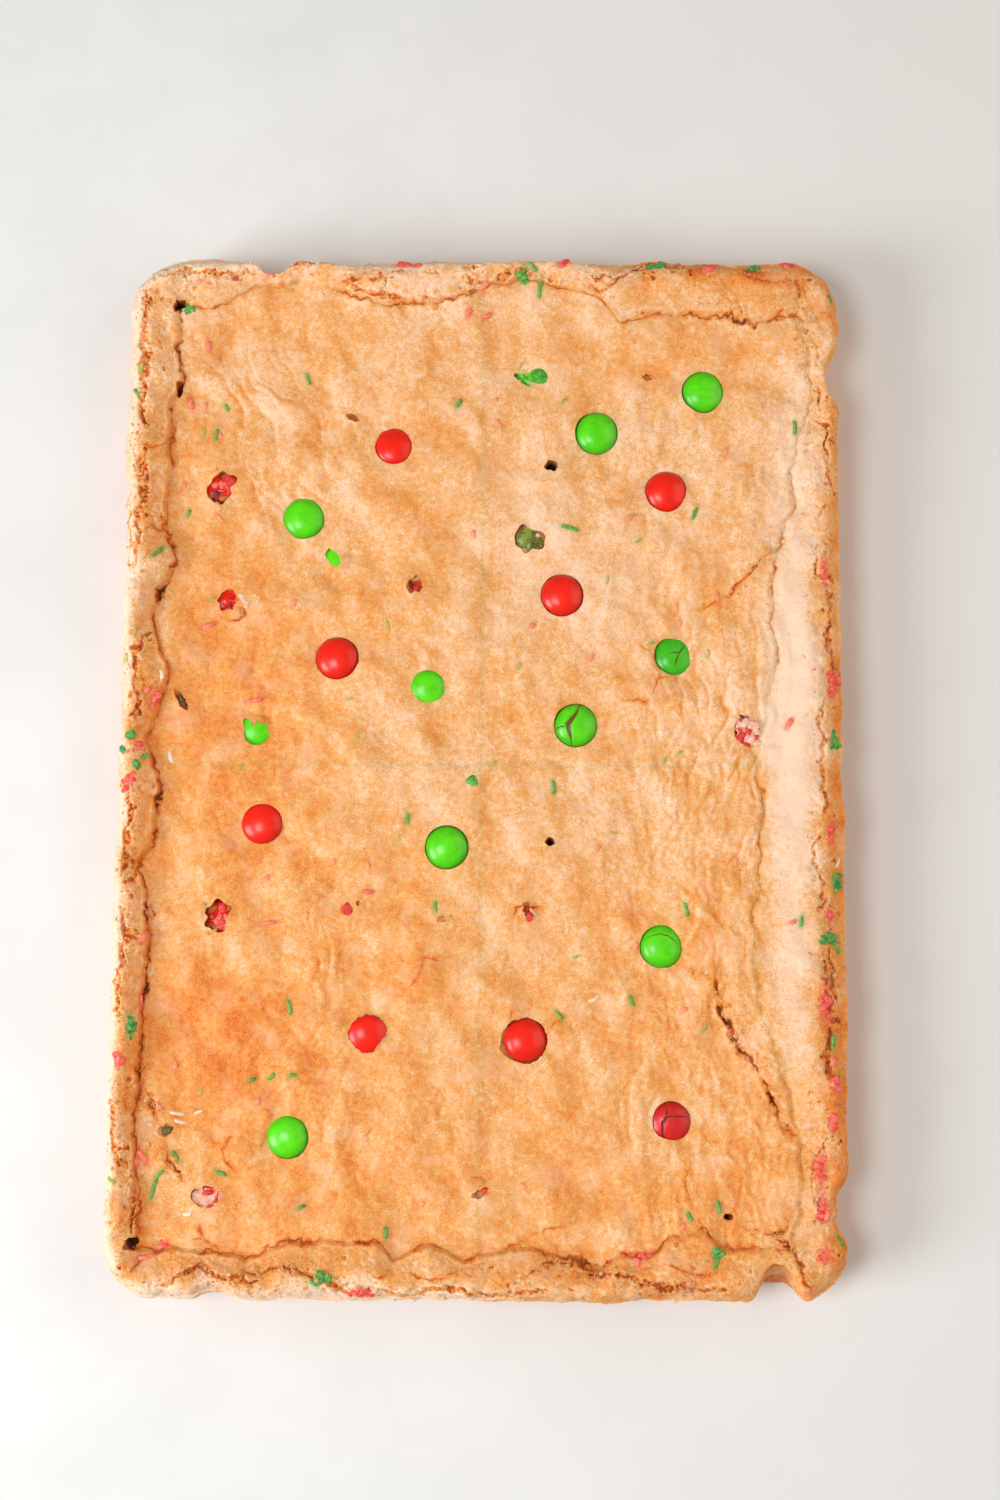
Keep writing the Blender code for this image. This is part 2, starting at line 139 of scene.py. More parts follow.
# Cracks off the fold: width, depth, and the points they run through
CRACKS = (
    (1.25, 3.2, STEP_CRACK),
    (0.5, 1.0, ((-62, 161.5), (-55, 162.5), (-48, 164), (-41, 162.5))),
    (0.6, 1.0, ((-48, 156), (-43, 158), (-36, 157), (-30, 160), (-22, 159))),
    (0.6, 1.2, ((30, 157), (38, 154), (43, 157), (50, 161.5), (55, 164), (62, 163), (67, 160.5))),
    (0.5, 1.0, ((80, 160), (90, 157), (100, 157), (102.5, 155), (100, 150))),
    (0.6, 1.2, ((93, 146), (97, 148.5), (103.5, 143.5))),
    (0.55, 0.9, ((93, 70), (89, 67), (86, 63), (82, 58.5), (79, 55.3), (76, 53.5))),
    (0.4, 0.6, ((76, 53.5), (72.5, 52.5), (70, 50.3), (67, 49))),
    (0.25, 0.4, ((45, 21), (52, 21), (57, 28), (61, 29))),
    (0.3, 0.6, ((62, -119), (64, -126), (64.5, -131), (67, -138), (69, -143))),
    (0.5, 1.0, ((78, -141), (84, -143), (90, -144), (94, -143), (95, -138), (98, -134))),
    (0.9, 1.8, ((89, -144), (95, -148), (98, -153), (100, -158), (102, -162))),
    (0.25, 0.5, ((0, -150), (8, -149.5), (15, -146), (22, -143), (31, -141))),
    (0.6, 1.4, ((13, -158), (18, -155), (23, -152.5), (30, -152), (36, -157), (41, -155))),
    (0.4, 0.8, ((45, -154), (52, -155), (60, -153), (66, -156), (74, -155))),
    (0.5, 1.0, ((-96, -160), (-90, -157), (-84, -154), (-78, -158), (-67, -157), (-60, -154.5), (-52, -156),
                (-40, -161), (-34, -163))),
    (0.35, 0.8, ((-44, -152), (-36, -154), (-30, -157), (-22, -156), (-14, -158), (-5, -156), (3, -158))),
    (0.3, 0.6, ((-89, -140), (-86, -141), (-84.5, -147))),
    (0.4, 1.0, ((-101, -151), (-104, -156), (-109, -158))),
    (0.3, 0.7, ((-100, 104), (-105, 101), (-109, 102))),
    (0.3, 0.7, ((-101, 74), (-105, 76), (-108, 74))),
    (0.3, 0.7, ((-105, -53), (-109, -54), (-112, -52))),
    (0.2, 0.3, ((-26, -60), (-21, -62), (-16, -60), (-11, -62))),
    (0.2, 0.3, ((-22, -70), (-18, -66), (-17, -60))),
    (0.25, 0.4, ((50, 40), (54, 37), (55, 32))),
    (0.8, 1.6, ((-105, -89), (-105, -99), (-103, -101.5), (-101, -105), (-99, -112.5))),
    (0.8, 1.6, ((-96.5, -118.5), (-95, -122.5), (-93, -126), (-90.5, -130))),
    (0.3, 0.6, ((-107.7, -100), (-108.2, -107), (-105.8, -108), (-103.4, -108))),
    (0.4, 0.8, ((-85.7, -141.5), (-84.2, -145), (-81.8, -147), (-78.3, -150.5))),
    (0.3, 0.6, ((-102, -149), (-93.5, -150.5), (-87, -147), (-81.5, -147.5))),
    (0.3, 0.5, ((-75.6, -112), (-78, -119), (-77.5, -122.5), (-75, -126.5), (-71.5, -126.5), (-66, -123))),
    (0.45, 1.4, ((10.2, -81), (10.3, -79), (10.2, -76.5))),
    (0.45, 0.9, ((14, -44.2), (11.8, -45.6), (10, -48))),
    (0.4, 0.8, ((16.5, -44.5), (18.6, -44.4), (20.4, -46.6))),
    (0.4, 0.8, ((-76.8, 51.5), (-75.8, 48.5), (-77.6, 46.2), (-81.5, 46.2))),
    (0.3, 0.6, ((21.5, -82), (24, -80), (26, -79.5))),
)
# Rifts along the rim, where the crust has broken down to brown crumb: width, and the points they run through
RIFTS = (
    (3.4, ((-109, 158), (-108.5, 147), (-109.5, 138), (-108.5, 128), (-109.5, 117), (-108, 106))),
    (2.8, ((-108.5, 101), (-108, 90), (-109, 80), (-109, 70), (-110, 59))),
    (2.4, ((-103, 43), (-107, 40), (-109, 33), (-109, 26), (-107, 19), (-109, 12))),
    (2.6, ((-109, -6), (-109, -18), (-110, -26), (-110, -37))),
    (3.0, ((-110, -46), (-110, -58), (-111, -67), (-111, -80))),
    (2.4, ((-111, -100), (-111, -115), (-110, -121), (-107, -126))),
    (2.6, ((-107, -126), (-105, -131), (-104.5, -139), (-105.5, -146))),
    (2.0, ((-113, 60), (-112.5, 72), (-113, 84))),
    (2.0, ((103, 142), (103, 134), (104, 126), (107, 121), (109, 114))),
    (2.0, ((105, 112), (110, 109), (108.5, 102), (109.5, 95), (112, 88))),
    (2.2, ((106, 72), (106, 62), (110, 60), (111, 52), (110, 45), (109, 38), (112, 30))),
    (2.2, ((107, 22), (106, 10), (108, 4), (107, -3), (107.5, -9), (107, -20))),
    (2.0, ((105, -21), (104, -30), (107, -38), (105, -47))),
    (2.6, ((106, -60), (107, -70), (108.5, -80), (107, -90), (109, -98))),
    (2.6, ((109, -110), (104, -121), (102, -128), (103, -134), (108, -141))),
    (3.0, ((108, -56), (109, -66), (111, -74))),
    (2.8, ((-8, 158), (2, 157), (9, 161), (16, 160), (24, 157.5))),
    (2.2, ((-45, 157), (-34, 152.5), (-22, 152), (-12, 151))),
    (3.2, ((34, 159), (42, 158), (49, 161), (56, 163), (66, 162))),
    (2.4, ((-66, 162.5), (-58, 163.5), (-48, 164.5), (-36, 164))),
    (2.4, ((-104, 158), (-97, 160), (-90, 158), (-80, 158), (-72, 161))),
    (2.2, ((82, 162), (92, 160), (101, 158))),
    (2.8, ((-98, -160), (-90, -157.5), (-84, -155), (-77, -158.5), (-66, -157.5))),
    (2.4, ((-60, -155), (-52, -156.5), (-42, -160.5), (-32, -163))),
    (3.0, ((-31, -161), (-20, -163), (-8, -161), (4, -163), (20, -161.5))),
    (2.6, ((34, -157), (42, -155.5), (50, -159), (62, -160.5), (76, -160))),
    (2.2, ((20, -153), (30, -152.5), (37, -156))),
)
# Pits: x, y, half length, half width, heading, depth, raggedness. The LENTIL_PITS that have a lentil in them
# come first.
PITS = (
    (-83.8, 89.5, 6.0, 3.9, 68, 1.6, 0.3),
    (-81.3, 52.6, 3.4, 3.0, 20, 2.0, 0.25),
    (-82.0, -48.0, 5.0, 3.8, 62, 1.8, 0.3),
    (-83.5, -134.0, 5.0, 2.8, 8, 0.2, 0.2),
    (14.8, 73.4, 4.9, 3.8, -28, 1.8, 0.25),
    (13.0, 126.2, 3.2, 1.3, -35, 1.2, 0.3),
    (22, 97.5, 2.3, 1.9, 10, 5.0, 0.25),
    (22, -24, 1.5, 1.3, 0, 5.0, 0.15),
    (77, -139, 1.5, 1.1, 0, 4.0, 0.15),
    (-21.5, 58, 2.9, 2.5, 60, 2.4, 0.35),
    (-38.2, -43.6, 0.9, 0.6, 80, 1.4, 0.2),
    (15.2, -45.4, 2.5, 1.5, -50, 1.6, 0.5),
    (1.2, -132.4, 3.2, 1.2, 22, 1.5, 0.3),
    (-42, 113, 2.2, 1.2, -20, 1.6, 0.3),
    (53, 127, 2.2, 1.0, 0, 1.2, 0.3),
    (-95, 20, 3.6, 1.2, 125, 1.8, 0.3),
    (-11.5, -48.5, 1.6, 1.0, 0, 0.9, 0.3),
    (-96, -114, 2.6, 1.6, 30, 1.4, 0.3),
    (-98.5, 149, 2.6, 1.6, 60, 4.0, 0.4),
    (-98, 121, 2.8, 1.0, 85, 3.0, 0.4),
    (-105.5, -148, 3.0, 1.6, 70, 4.0, 0.4),
)
LENTIL_PITS = 6
# Outlines of the lentils that the crust partly covers or gapes beside: (direction, reach) from the middle
OUTLINES = {
    "candy_11": ((-180, 3.6), (-130, 4.0), (-90, 4.2), (-45, 4.4), (-10, 4.3), (20, 3.6), (38, 4.4),
                 (55, 2.2), (72, 4.0), (88, 1.4), (112, 1.6), (128, 5.6), (142, 5.2), (160, 3.4),
                 (180, 3.6)),
    "candy_14": ((-180, 6.2), (-140, 5.6), (-105, 6.0), (-75, 5.9), (-48, 4.6), (-20, 4.8), (8, 6.2),
                 (35, 6.0), (90, 5.9), (135, 5.8), (165, 6.0), (180, 6.2)),
    "candy_15": ((-180, 7.6), (-160, 8.0), (-135, 7.7), (-110, 7.0), (-80, 7.4), (-40, 6.9), (0, 6.9),
                 (50, 6.9), (110, 6.9), (128, 7.4), (145, 7.1), (180, 7.6)),
    "candy_19": ((-180, 3.6), (-120, 4.2), (-80, 4.6), (-30, 4.4), (10, 4.5), (50, 4.2), (80, 4.8),
                 (120, 4.4), (150, 4.0), (180, 3.6)),
    "candy_20": ((-180, 1.8), (-150, 1.3), (-100, 1.8), (-62, 3.0), (-30, 2.8), (0, 2.2), (40, 2.0),
                 (80, 2.4), (112, 3.6), (140, 3.0), (180, 1.8)),
}
# Broken pieces of lentil: x, y, half length, half width, heading, how high the top stands above the crust
BRIGHT_RED_BITS = (
    (-82.0, 90.4, 3.6, 2.5, 78, 0.0), (-81.2, 86.8, 1.6, 1.3, 40, -0.2),
    (-85.2, 94.6, 1.6, 0.5, 110, -0.3), (-80.6, -45.6, 2.6, 1.3, 100, 0.1),
    (-81.0, -49.4, 2.4, 1.3, 165, 0.0), (-83.4, -133.0, 2.2, 0.9, 12, 0.6),
    (-80.4, -134.2, 2.2, 0.9, 70, 0.55), (-87.2, -135.4, 1.1, 0.9, 30, 0.5),
    (-82.2, -137.0, 1.2, 0.5, 20, 0.4), (-20.8, 57.6, 1.9, 1.6, 60, 0.7),
    (-41.6, -45.8, 2.2, 1.9, 80, 0.2), (15.8, -47.4, 1.3, 0.9, 70, 0.4), (15.0, -45.2, 0.9, 0.6, 100, 0.4),
    (2.4, -131.6, 1.6, 1.0, 40, -0.1), (-41.8, 113.2, 1.2, 0.7, -20, -0.3),
    (51.6, 127.2, 0.9, 0.5, 0, -0.2), (54.4, 126.8, 0.8, 0.5, 0, -0.2), (82.0, 9.0, 1.9, 1.3, 60, 0.3),
    (83.4, 6.8, 1.7, 1.0, 150, 0.3), (86.4, 9.2, 1.4, 0.8, 30, 0.5), (84.4, 11.2, 1.7, 1.0, 100, 0.6),
    (81.6, 11.6, 1.2, 0.8, 80, 0.3),
)
# Darker copies of the red bits, mostly on the left side of pits and clusters, away from the key: painted
# shade
SHADED_RED_BITS = (
    (-86.0, 88.2, 3.4, 1.6, 100, -0.5), (-85.0, 92.4, 1.8, 0.9, 105, -0.5),
    (-81.6, 53.0, 3.0, 2.6, 30, -0.7), (-83.6, -46.6, 1.8, 1.2, 70, -0.5),
    (-23.0, 58.6, 1.4, 1.2, 100, 0.2), (0.4, -132.8, 1.6, 0.7, 20, -0.6),
    (-83.4, -51.6, 1.8, 1.0, 20, -0.6), (80.6, 10.4, 1.8, 0.8, 100, -0.1),
    (82.2, 15.8, 1.2, 0.5, 150, 0.0),
)
GREEN_BITS = (
    (18.4, 127.3, 3.5, 2.3, 14, 0.35), (-2.5, -4.6, 1.6, 1.1, 60, 0.1), (-9.0, -47.5, 0.9, 0.5, 80, -0.1),
)
OLIVE_BITS = (
    (15.0, 74.6, 2.4, 1.7, -30, -0.4), (17.0, 73.0, 1.4, 1.0, 40, -0.4), (-95.0, 20.4, 2.2, 0.9, 120, 0.2),
    (-96.0, -114.0, 1.9, 1.1, 30, 0.2), (12.8, 128.6, 1.4, 0.8, -40, -0.5),
)
CREAM_BITS = (
    (-76.6, 53.6, 2.4, 1.2, 120, 0.2), (-75.0, 51.2, 1.3, 0.8, 60, 0.15), (-83.6, -134.2, 6.6, 4.1, 8, 0.15),
    (85.8, 12.6, 1.8, 1.4, 20, 0.5), (83.2, 13.6, 1.6, 1.2, 60, 0.5), (87.0, 7.4, 1.3, 1.0, 0, 0.4),
    (85.2, 8.6, 1.4, 1.0, 45, 0.6), (86.9, 10.6, 1.2, 0.9, 100, 0.4),
)
# Flaps of crust beside pits, in the same terms
FLAPS = (
    (-85.0, 83.4, 1.8, 0.8, 130, 0.1), (-82.6, 82.8, 1.6, 0.7, 60, 0.1), (-78.0, 49.4, 1.8, 1.0, 110, 0.1),
    (-86.6, -46.0, 2.6, 1.0, 75, 0.1), (-84.0, -53.0, 2.0, 0.9, 20, 0.1), (17.4, 75.4, 1.5, 0.8, -30, 0.0),
    (12.6, 71.0, 2.6, 1.3, -30, -0.3), (16.6, 71.6, 2.2, 1.1, 10, -0.3), (-0.8, -129.6, 3.0, 2.0, 20, 0.1),
    (16.8, -46.0, 1.6, 0.7, 130, 0.1), (13.2, -47.0, 1.2, 0.7, 60, 0.1), (-21.0, 60.6, 1.6, 0.7, 20, 0.0),
)
# Where the crust is baked darker (above 0) or paler: x, y, half width, half height, amount; the four strips
# along the side rims are painted light and shade instead
TONES = (
    (-40, 6, 7, 6, 0.1),
    (-16, 5, 6, 6, 0.08),
    (-28, 6, 24, 18, -0.1),
    (-70, 110, 30, 30, -0.05),
    (-30, 159, 60, 8, -0.08),
    (-85, -105, 24, 40, 0.04),
    (-19, -68, 10, 7, 0.22),
    (-82, -80, 14, 24, 0.1),
    (-78, 12, 22, 26, 0.12),
    (-95, -85, 12, 30, 0.08),
    (-88, 60, 12, 50, 0.1),
    (-86, 140, 14, 10, 0.1),
    (-60, -135, 34, 12, 0.06),
    (60, -135, 30, 14, 0.1),
    (98, 20, 8, 100, -0.46),
    (94, -95, 9, 34, -0.14),
    # Painted light and shade: browner along the right rim's outer part and the left rim's inner slope, which
    # face away from the key, and paler along the left rim's outer part, which faces it
    (112, 0, 5, 170, 0.12),
    (-113, 0, 4, 170, -0.02),
    (112, -100, 7, 50, 0.16),
    (-106, 0, 4, 170, 0.06),
    (-62, -90, 40, 60, 0.08),
    (-85, 10, 24, 60, 0.06),
    (0, -90, 110, 70, 0.04),
    (94, -100, 10, 34, 0.06),
    (60, -160, 50, 9, 0.18),
    (94, -115, 10, 30, 0.1),
    (80, 160, 40, 7, 0.24),
    (30, 60, 50, 60, -0.1),
    (0, 150, 60, 6, -0.08),
    (-45, 30, 30, 30, 0.06),
)

# Sugar strands: x, y, heading, length. The faint ones lie under a skin of crust.
GREEN_STRANDS = (
    (-57, 126, 110, 4.4), (-8, 118, 60, 3.6), (-94.5, 81, 70, 3), (-103, 67, 45, 6),
    (-111.2, 119, 130, 3.6), (18, 156, 85, 7), (28, 77, 165, 6.2), (68, 82, 70, 5.2), (100, 109.5, 90, 5),
    (111.9, 152, 100, 4), (-86, 107, 80, 5), (-83, 116, 120, 2.6), (-14, -44.5, 90, 3.6),
    (23, -6.5, 95, 5), (64.5, -45, 105, 5), (-59, -76, 105, 5.6), (-93, -122, 130, 4.4),
    (-99.5, -131.5, 75, 8), (-98, -127.5, 50, 4), (-79, -127, 160, 4), (-28, -144.5, 90, 4),
    (25, -78, 130, 4), (47.5, -73.5, 110, 3.8), (65, -139, 120, 3.4), (74, -136, 95, 4.6),
    (109.3, -86, 90, 5.4), (110.6, -97, 80, 4.6), (111.2, -146, 120, 4.2), (73, -152.5, 70, 4.5),
    (74.5, -150, 20, 3), (-23, -17, 90, 3.4), (110.6, -36, 85, 6), (108.7, -54, -30, 7),
    (110.9, -57, 150, 4), (12, 160.3, 70, 5), (15.5, 161.9, 130, 4.4), (-47, -158.5, 60, 4),
    (-49.5, -159, 150, 3.6), (-54, -137, 30, 2.6), (100, -48.5, 80, 4.4), (-70, -98.5, 20, 2.6),
    (-64, -97.5, 40, 3), (-57.5, -97, 10, 2.6),
)
GREEN_FAINT = (
    (-90, 107, 85, 5), (-86, 53, 30, 3), (26, 119, 40, 3), (12, 131, 55, 4.4), (50, 73, 30, 3.4),
    (-42, 21, 10, 3), (-39, 9, 80, 3), (-76, -1, 40, 3), (-25.5, -23, 90, 2.6), (12, 32, 60, 3),
    (4, 1, 30, 3), (42, -21, 0, 3), (54, 39.5, 30, 2.6), (72, 36, 80, 3), (63, 4.5, 30, 2.6),
    (58, 2, 70, 2.6), (-86, -102.5, 40, 2.6), (70, -82, 50, 3), (106, -62.5, 80, 3), (-110, 127, 60, 4),
    (-109.3, 41, 70, 3.4), (-111.9, 33, 80, 4), (-111.9, -129, 150, 3.6), (-108.7, -79, 20, 4),
    (30, -60, 20, 3.6), (-30, 45, 100, 3.6), (40, 60, 80, 3.6),
)
RED_STRANDS = (
    (-103, 20, 70, 5), (-105, 23, 30, 3.4), (-103, -122, 130, 6), (-105, -124, 80, 3.6),
    (-110.6, -93, 90, 4.4), (-101, -152, 15, 6), (-97, -149.5, 60, 3.4), (-72, 20.5, 5, 6.2),
    (-87, 44.5, 20, 5.2), (-66, -50, 10, 6.4), (-5, 147.5, 70, 3.4), (1, 147, 30, 3.4),
    (52, -151, 40, 4.4), (49, -152.5, 110, 3), (107, -138, 50, 4.4), (97, 13.5, 60, 4), (-35, -40, 0, 4.4),
    (-94.5, 117, 105, 5), (-89, 136, 100, 4), (109.3, -92, 60, 3.4), (-105, -74, 80, 4),
    (-104.5, -55, 60, 4),
)
RED_FAINT = (
    (-86, 131.5, 60, 3), (-90, 116, 80, 4), (-85, 107, 100, 4), (-84, 79, 130, 4.2), (-96, 90, 60, 3),
    (-92, 156, 20, 3), (0, 156, 75, 5.2), (4, 119, 60, 3), (5, 111, 120, 4.2), (78, 102, 80, 3.4),
    (47, 80.5, 40, 3), (75, 54.5, 95, 4), (62, 51, 85, 4.4), (63, 46, 85, 3.4), (-46, -31, 45, 3.4),
    (-35, -32, 100, 4.2), (-67, -36, 40, 4), (16, 45, 40, 3.4), (37, -26, 60, 4), (97, -49, 20, 3.4),
    (49, -56.5, 85, 4), (-94, -94, 85, 4), (-98, -107, 140, 3.4), (-88.5, -108, 20, 3.4),
    (-68, -105, 80, 3), (-17, -136, 40, 3), (64, -76, 20, 3), (14, -130.5, 140, 4), (63, -142, 60, 3),
    (109.3, -98, 50, 3.6), (-60, 52, 70, 4), (35, 35, 60, 4), (-3, 75, 100, 4), (80, -30, 80, 4),
)
# Broken bits of lentil that show in the crust: x, y, spread in x and y, how many
RED_CHIPS = (
    (111, 26, 1.8, 4.0, 14), (-69, 160, 3.0, 1.6, 7), (-25, 162.6, 4.6, 1.3, 10), (72, 161.2, 3.0, 1.6, 9),
    (25, 162.5, 2.2, 1.2, 5), (98.5, 163, 2.2, 1.0, 5), (-109.8, -6, 1.8, 1.8, 8),
    (-107.4, 5, 1.4, 1.6, 4), (-103, 20, 1.0, 2.0, 5), (-35, -161.5, 3.4, 1.2, 8),
    (-110.5, -92, 1.2, 2.4, 5), (108.6, -47, 1.4, 2.8, 6), (109, -110, 1.4, 3.0, 7),
    (109.5, -98, 1.6, 2.2, 5), (105.5, -137, 1.6, 3.0, 6), (51, -150.5, 3.0, 1.2, 5),
    (-96, -148.5, 2.0, 1.0, 4), (-84, 91, 2.2, 2.6, 4), (-81, -48, 1.6, 2.2, 4), (107, -75, 2.2, 7.0, 6),
    (105, -124, 2.0, 6.0, 5), (109.5, -22, 1.3, 4.0, 3), (108.5, 62, 1.3, 5.0, 3),
    (106, -150, 2.6, 3.0, 3),
)
GREEN_CHIPS = (
    (-107.5, -82.5, 1.6, 3.0, 11), (-2.5, -5, 1.0, 1.6, 3), (110.6, 8, 1.3, 1.9, 5),
    (111, -36, 1.2, 2.6, 6), (109, -54, 3.2, 1.4, 7), (-96, 148, 1.6, 1.4, 5), (13, 160, 1.5, 1.8, 5),
    (55, 162.6, 2.8, 1.2, 6), (87.5, 162.4, 2.0, 1.2, 5), (-110, 8.6, 1.0, 0.9, 3),
    (-112, 3.2, 0.9, 0.9, 3), (-106, 1.6, 1.0, 0.8, 3), (-108.6, -0.8, 1.0, 0.7, 3),
    (72.5, -150.5, 1.0, 1.6, 4), (-47.5, -157.2, 1.6, 1.3, 5),
)
WHITE_STRANDS = (
    (-98, 2, 105, 4.4), (-101, 28, 100, 3.6), (-93, -109, 170, 5.4), (-92, -111.5, 170, 4.4),
    (-86.5, -108.5, 20, 3), (-89, -139.5, 10, 3.4), (36, -73, 30, 4.4), (112, -30, 80, 4),
)


def smoothstep(value):
    """0 below 0, 1 above 1, and an S-shaped blend between."""
    value = np.clip(value, 0, 1)
    return value * value * (3 - 2 * value)


def swell(x, y, cell, seed, stretch=1.0):
    """Gradient noise from about -1 to 1: a random slope at each corner of a square lattice, blended
    smoothly. cell is the lattice's size along X, and stretch times that along Y."""
    size = 64
    angle = np.random.default_rng(seed).uniform(0, 2 * np.pi, (size, size))
    gx = x / cell + size / 2
    gy = y / (cell * stretch) + size / 2
    column = np.floor(gx).astype(int)
    row = np.floor(gy).astype(int)
    fx = gx - column
    fy = gy - row

    def corner(dx, dy):
        slope = angle[(row + dy) % size, (column + dx) % size]
        return np.cos(slope) * (fx - dx) + np.sin(slope) * (fy - dy)

    across = smoothstep(fx)
    near = corner(0, 0) * (1 - across) + corner(1, 0) * across
    far = corner(0, 1) * (1 - across) + corner(1, 1) * across
    return 1.5 * (near + (far - near) * smoothstep(fy))


def grit(points, cell, seed):
    """Value noise from -1 to 1 in space: random values at the corners of a cubic lattice, blended
    smoothly."""
    size = 48
    values = np.random.default_rng(seed).uniform(-1, 1, (size, size, size))
    place = points / cell + size / 2 + 0.37
    corner = np.floor(place).astype(int)
    blend = smoothstep(place - corner)
    total = np.zeros(len(points))
    for offset in np.ndindex(2, 2, 2):
        share = np.prod(np.where(offset, blend, 1 - blend), axis=1)
        index = (corner + offset) % size
        total += share * values[index[:, 0], index[:, 1], index[:, 2]]
    return total


def ragged(points, size, layers, seed):
    """Value noise in layers: each is half as large as the last, and weaker."""
    return sum(0.62**layer * grit(points, size * 0.5**layer, seed + layer) for layer in range(layers))


def along(table, place):
    """A table's value at places along one side."""
    table = np.array(table, float)
    return np.interp(place, table[:, 0], table[:, 1])


# How far the fold's lobes reach along the right, where they are large, and elsewhere
RIGHT_LOBES = 2.6
LOBES = 1.2


def jag(place, seed, lobes=LOBES):
    """How far the fold strays from its table: lobes about a centimetre long, and smaller jags on them."""
    still = place * 0
    wander = lobes * swell(place, still, 10, seed) + 0.7 * swell(place, still + 9, 4.5, seed)
    return wander + 0.35 * swell(place, still + 21, 2.0, seed)


def fold_pull(across, other):
    """How much of the fold's wander a grid point takes: all at the fold, fading to the edge and the
    middle."""
    across = np.abs(across)
    inwards = smoothstep((across - 0.5) / 0.5)
    return np.where(across > 1, np.clip(2 - across, 0, 1), inwards) * np.clip(2 - np.abs(other), 0, 1)


def sheet_places(u, v):
    """x, y, the outward direction and the outer edge's place for each grid point.
    A point beyond |u| or |v| of 1 lies on a ring: straight beside a side, and turned about the corner's
    centre in a corner, by the share that one coordinate is of the other."""
    ring = np.maximum(np.abs(u), np.abs(v))
    over_u = np.maximum(np.abs(u) - 1, 0)
    over_v = np.maximum(np.abs(v) - 1, 0)
    reach = np.maximum(np.maximum(over_u, over_v), 1e-9)
    turn = np.where(over_u >= over_v, over_v / reach, 2 - over_u / reach) * math.pi / 4
    out_x = np.where(ring > 1, np.cos(turn), 0) * np.sign(u)
    out_y = np.where(ring > 1, np.sin(turn), 0) * np.sign(v)
    core_x = np.clip(u, -1, 1) * (HALF_WIDTH - CORNER_RADIUS)
    core_y = np.clip(v, -1, 1) * (HALF_LENGTH - CORNER_RADIUS)
    radius = CORNER_RADIUS * np.clip(ring - 1, 0, 1)
    x = core_x + out_x * radius
    y = core_y + out_y * radius
    edge_x = core_x + out_x * CORNER_RADIUS
    edge_y = core_y + out_y * CORNER_RADIUS
    right = along(FOLD_INSET["right"], y) + jag(y, 31, RIGHT_LOBES)
    left = along(FOLD_INSET["left"], y) + jag(y, 32)
    top = along(FOLD_INSET["top"], x) + jag(x, 33)
    bottom = along(FOLD_INSET["bottom"], x) + jag(x, 34)
    pull_x = fold_pull(u, v) * (CORNER_RADIUS - np.where(u > 0, right, left))
    pull_y = fold_pull(v, u) * (CORNER_RADIUS - np.where(v > 0, top, bottom))
    return x + np.sign(u) * pull_x, y + np.sign(v) * pull_y, out_x, out_y, edge_x, edge_y


def distance_to(route, x, y, reach=None):
    """Signed distance from each point to a route, positive on its right, and the share of its length there.
    Points further than the reach outside the route's own box are only given as far away."""
    route = np.array(route, float)
    signed = np.full(x.shape, 1e6)
    share = np.zeros(x.shape)
    close = np.ones(x.shape, bool)
    if reach:
        low, high = route.min(axis=0) - reach, route.max(axis=0) + reach
        close = (x > low[0]) & (x < high[0]) & (y > low[1]) & (y < high[1])
    px, py = x[close], y[close]
    nearest, side, part_way = np.full(px.shape, 1e6), np.ones(px.shape), np.zeros(px.shape)
    for n, (a, b) in enumerate(zip(route[:-1], route[1:])):
        step = b - a
        part = np.clip(((px - a[0]) * step[0] + (py - a[1]) * step[1]) / (step @ step), 0, 1)
        dx = px - a[0] - part * step[0]
        dy = py - a[1] - part * step[1]
        gap = np.hypot(dx, dy)
        closer = gap < nearest
        nearest = np.where(closer, gap, nearest)
        side = np.where(closer, np.sign(dx * step[1] - dy * step[0]), side)
        part_way = np.where(closer, (n + part) / (len(route) - 1), part_way)
    signed[close] = nearest * side
    share[close] = part_way
    return signed, share


class Lentil:
    """One candy as its solid has it: a flattened ball with its centre, and the axis it is thin along."""

    def __init__(self, node):
        mesh = frame["nodes"][node].data
        points = np.empty(len(mesh.vertices) * 3)
        mesh.vertices.foreach_get("co", points)
        points = np.unique(np.round(points.reshape(-1, 3) / MM, 4), axis=0)
        low, high = (np.array(corner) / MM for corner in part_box(node))
        self.node = node
        self.centre = (low + high) / 2
        _, directions = np.linalg.eigh(np.cov((points - self.centre).T))
        self.axis = directions[:, 0] * np.sign(directions[2, 0])

    def heights(self, x, y):
        """Its lower and upper surface at places, and whether it reaches there at all: the two roots of the
        quadratic that a flattened ball's equation gives for z."""
        dx = x - self.centre[0]
        dy = y - self.centre[1]
        flat = 1 / CANDY_HALF_THICKNESS**2 - 1 / CANDY_RADIUS**2
        lean = self.axis[0] * dx + self.axis[1] * dy
        a = 1 / CANDY_RADIUS**2 + flat * self.axis[2] ** 2
        b = 2 * flat * self.axis[2] * lean
        c = (dx**2 + dy**2) / CANDY_RADIUS**2 + flat * lean**2 - 1
        inside = b * b - 4 * a * c
        root = np.sqrt(np.maximum(inside, 0))
        low = self.centre[2] + (-b - root) / (2 * a)
        high = self.centre[2] + (-b + root) / (2 * a)
        return low, high, inside > 0


bare = [Lentil(node) for node in sorted(frame["nodes"]) if node.startswith("candy_")]
buried = [Lentil(node) for node in sorted(frame["nodes"]) if node.startswith("pit_candy_")]


def inside_folds(x, y):
    """How far inside each side's fold places lie, leaving out the fold's lobes and jags."""
    return {
        "left": x + HALF_WIDTH - along(FOLD_INSET["left"], y),
        "right": HALF_WIDTH - along(FOLD_INSET["right"], y) - x,
        "bottom": y + HALF_LENGTH - along(FOLD_INSET["bottom"], x),
        "top": HALF_LENGTH - along(FOLD_INSET["top"], x) - y,
    }


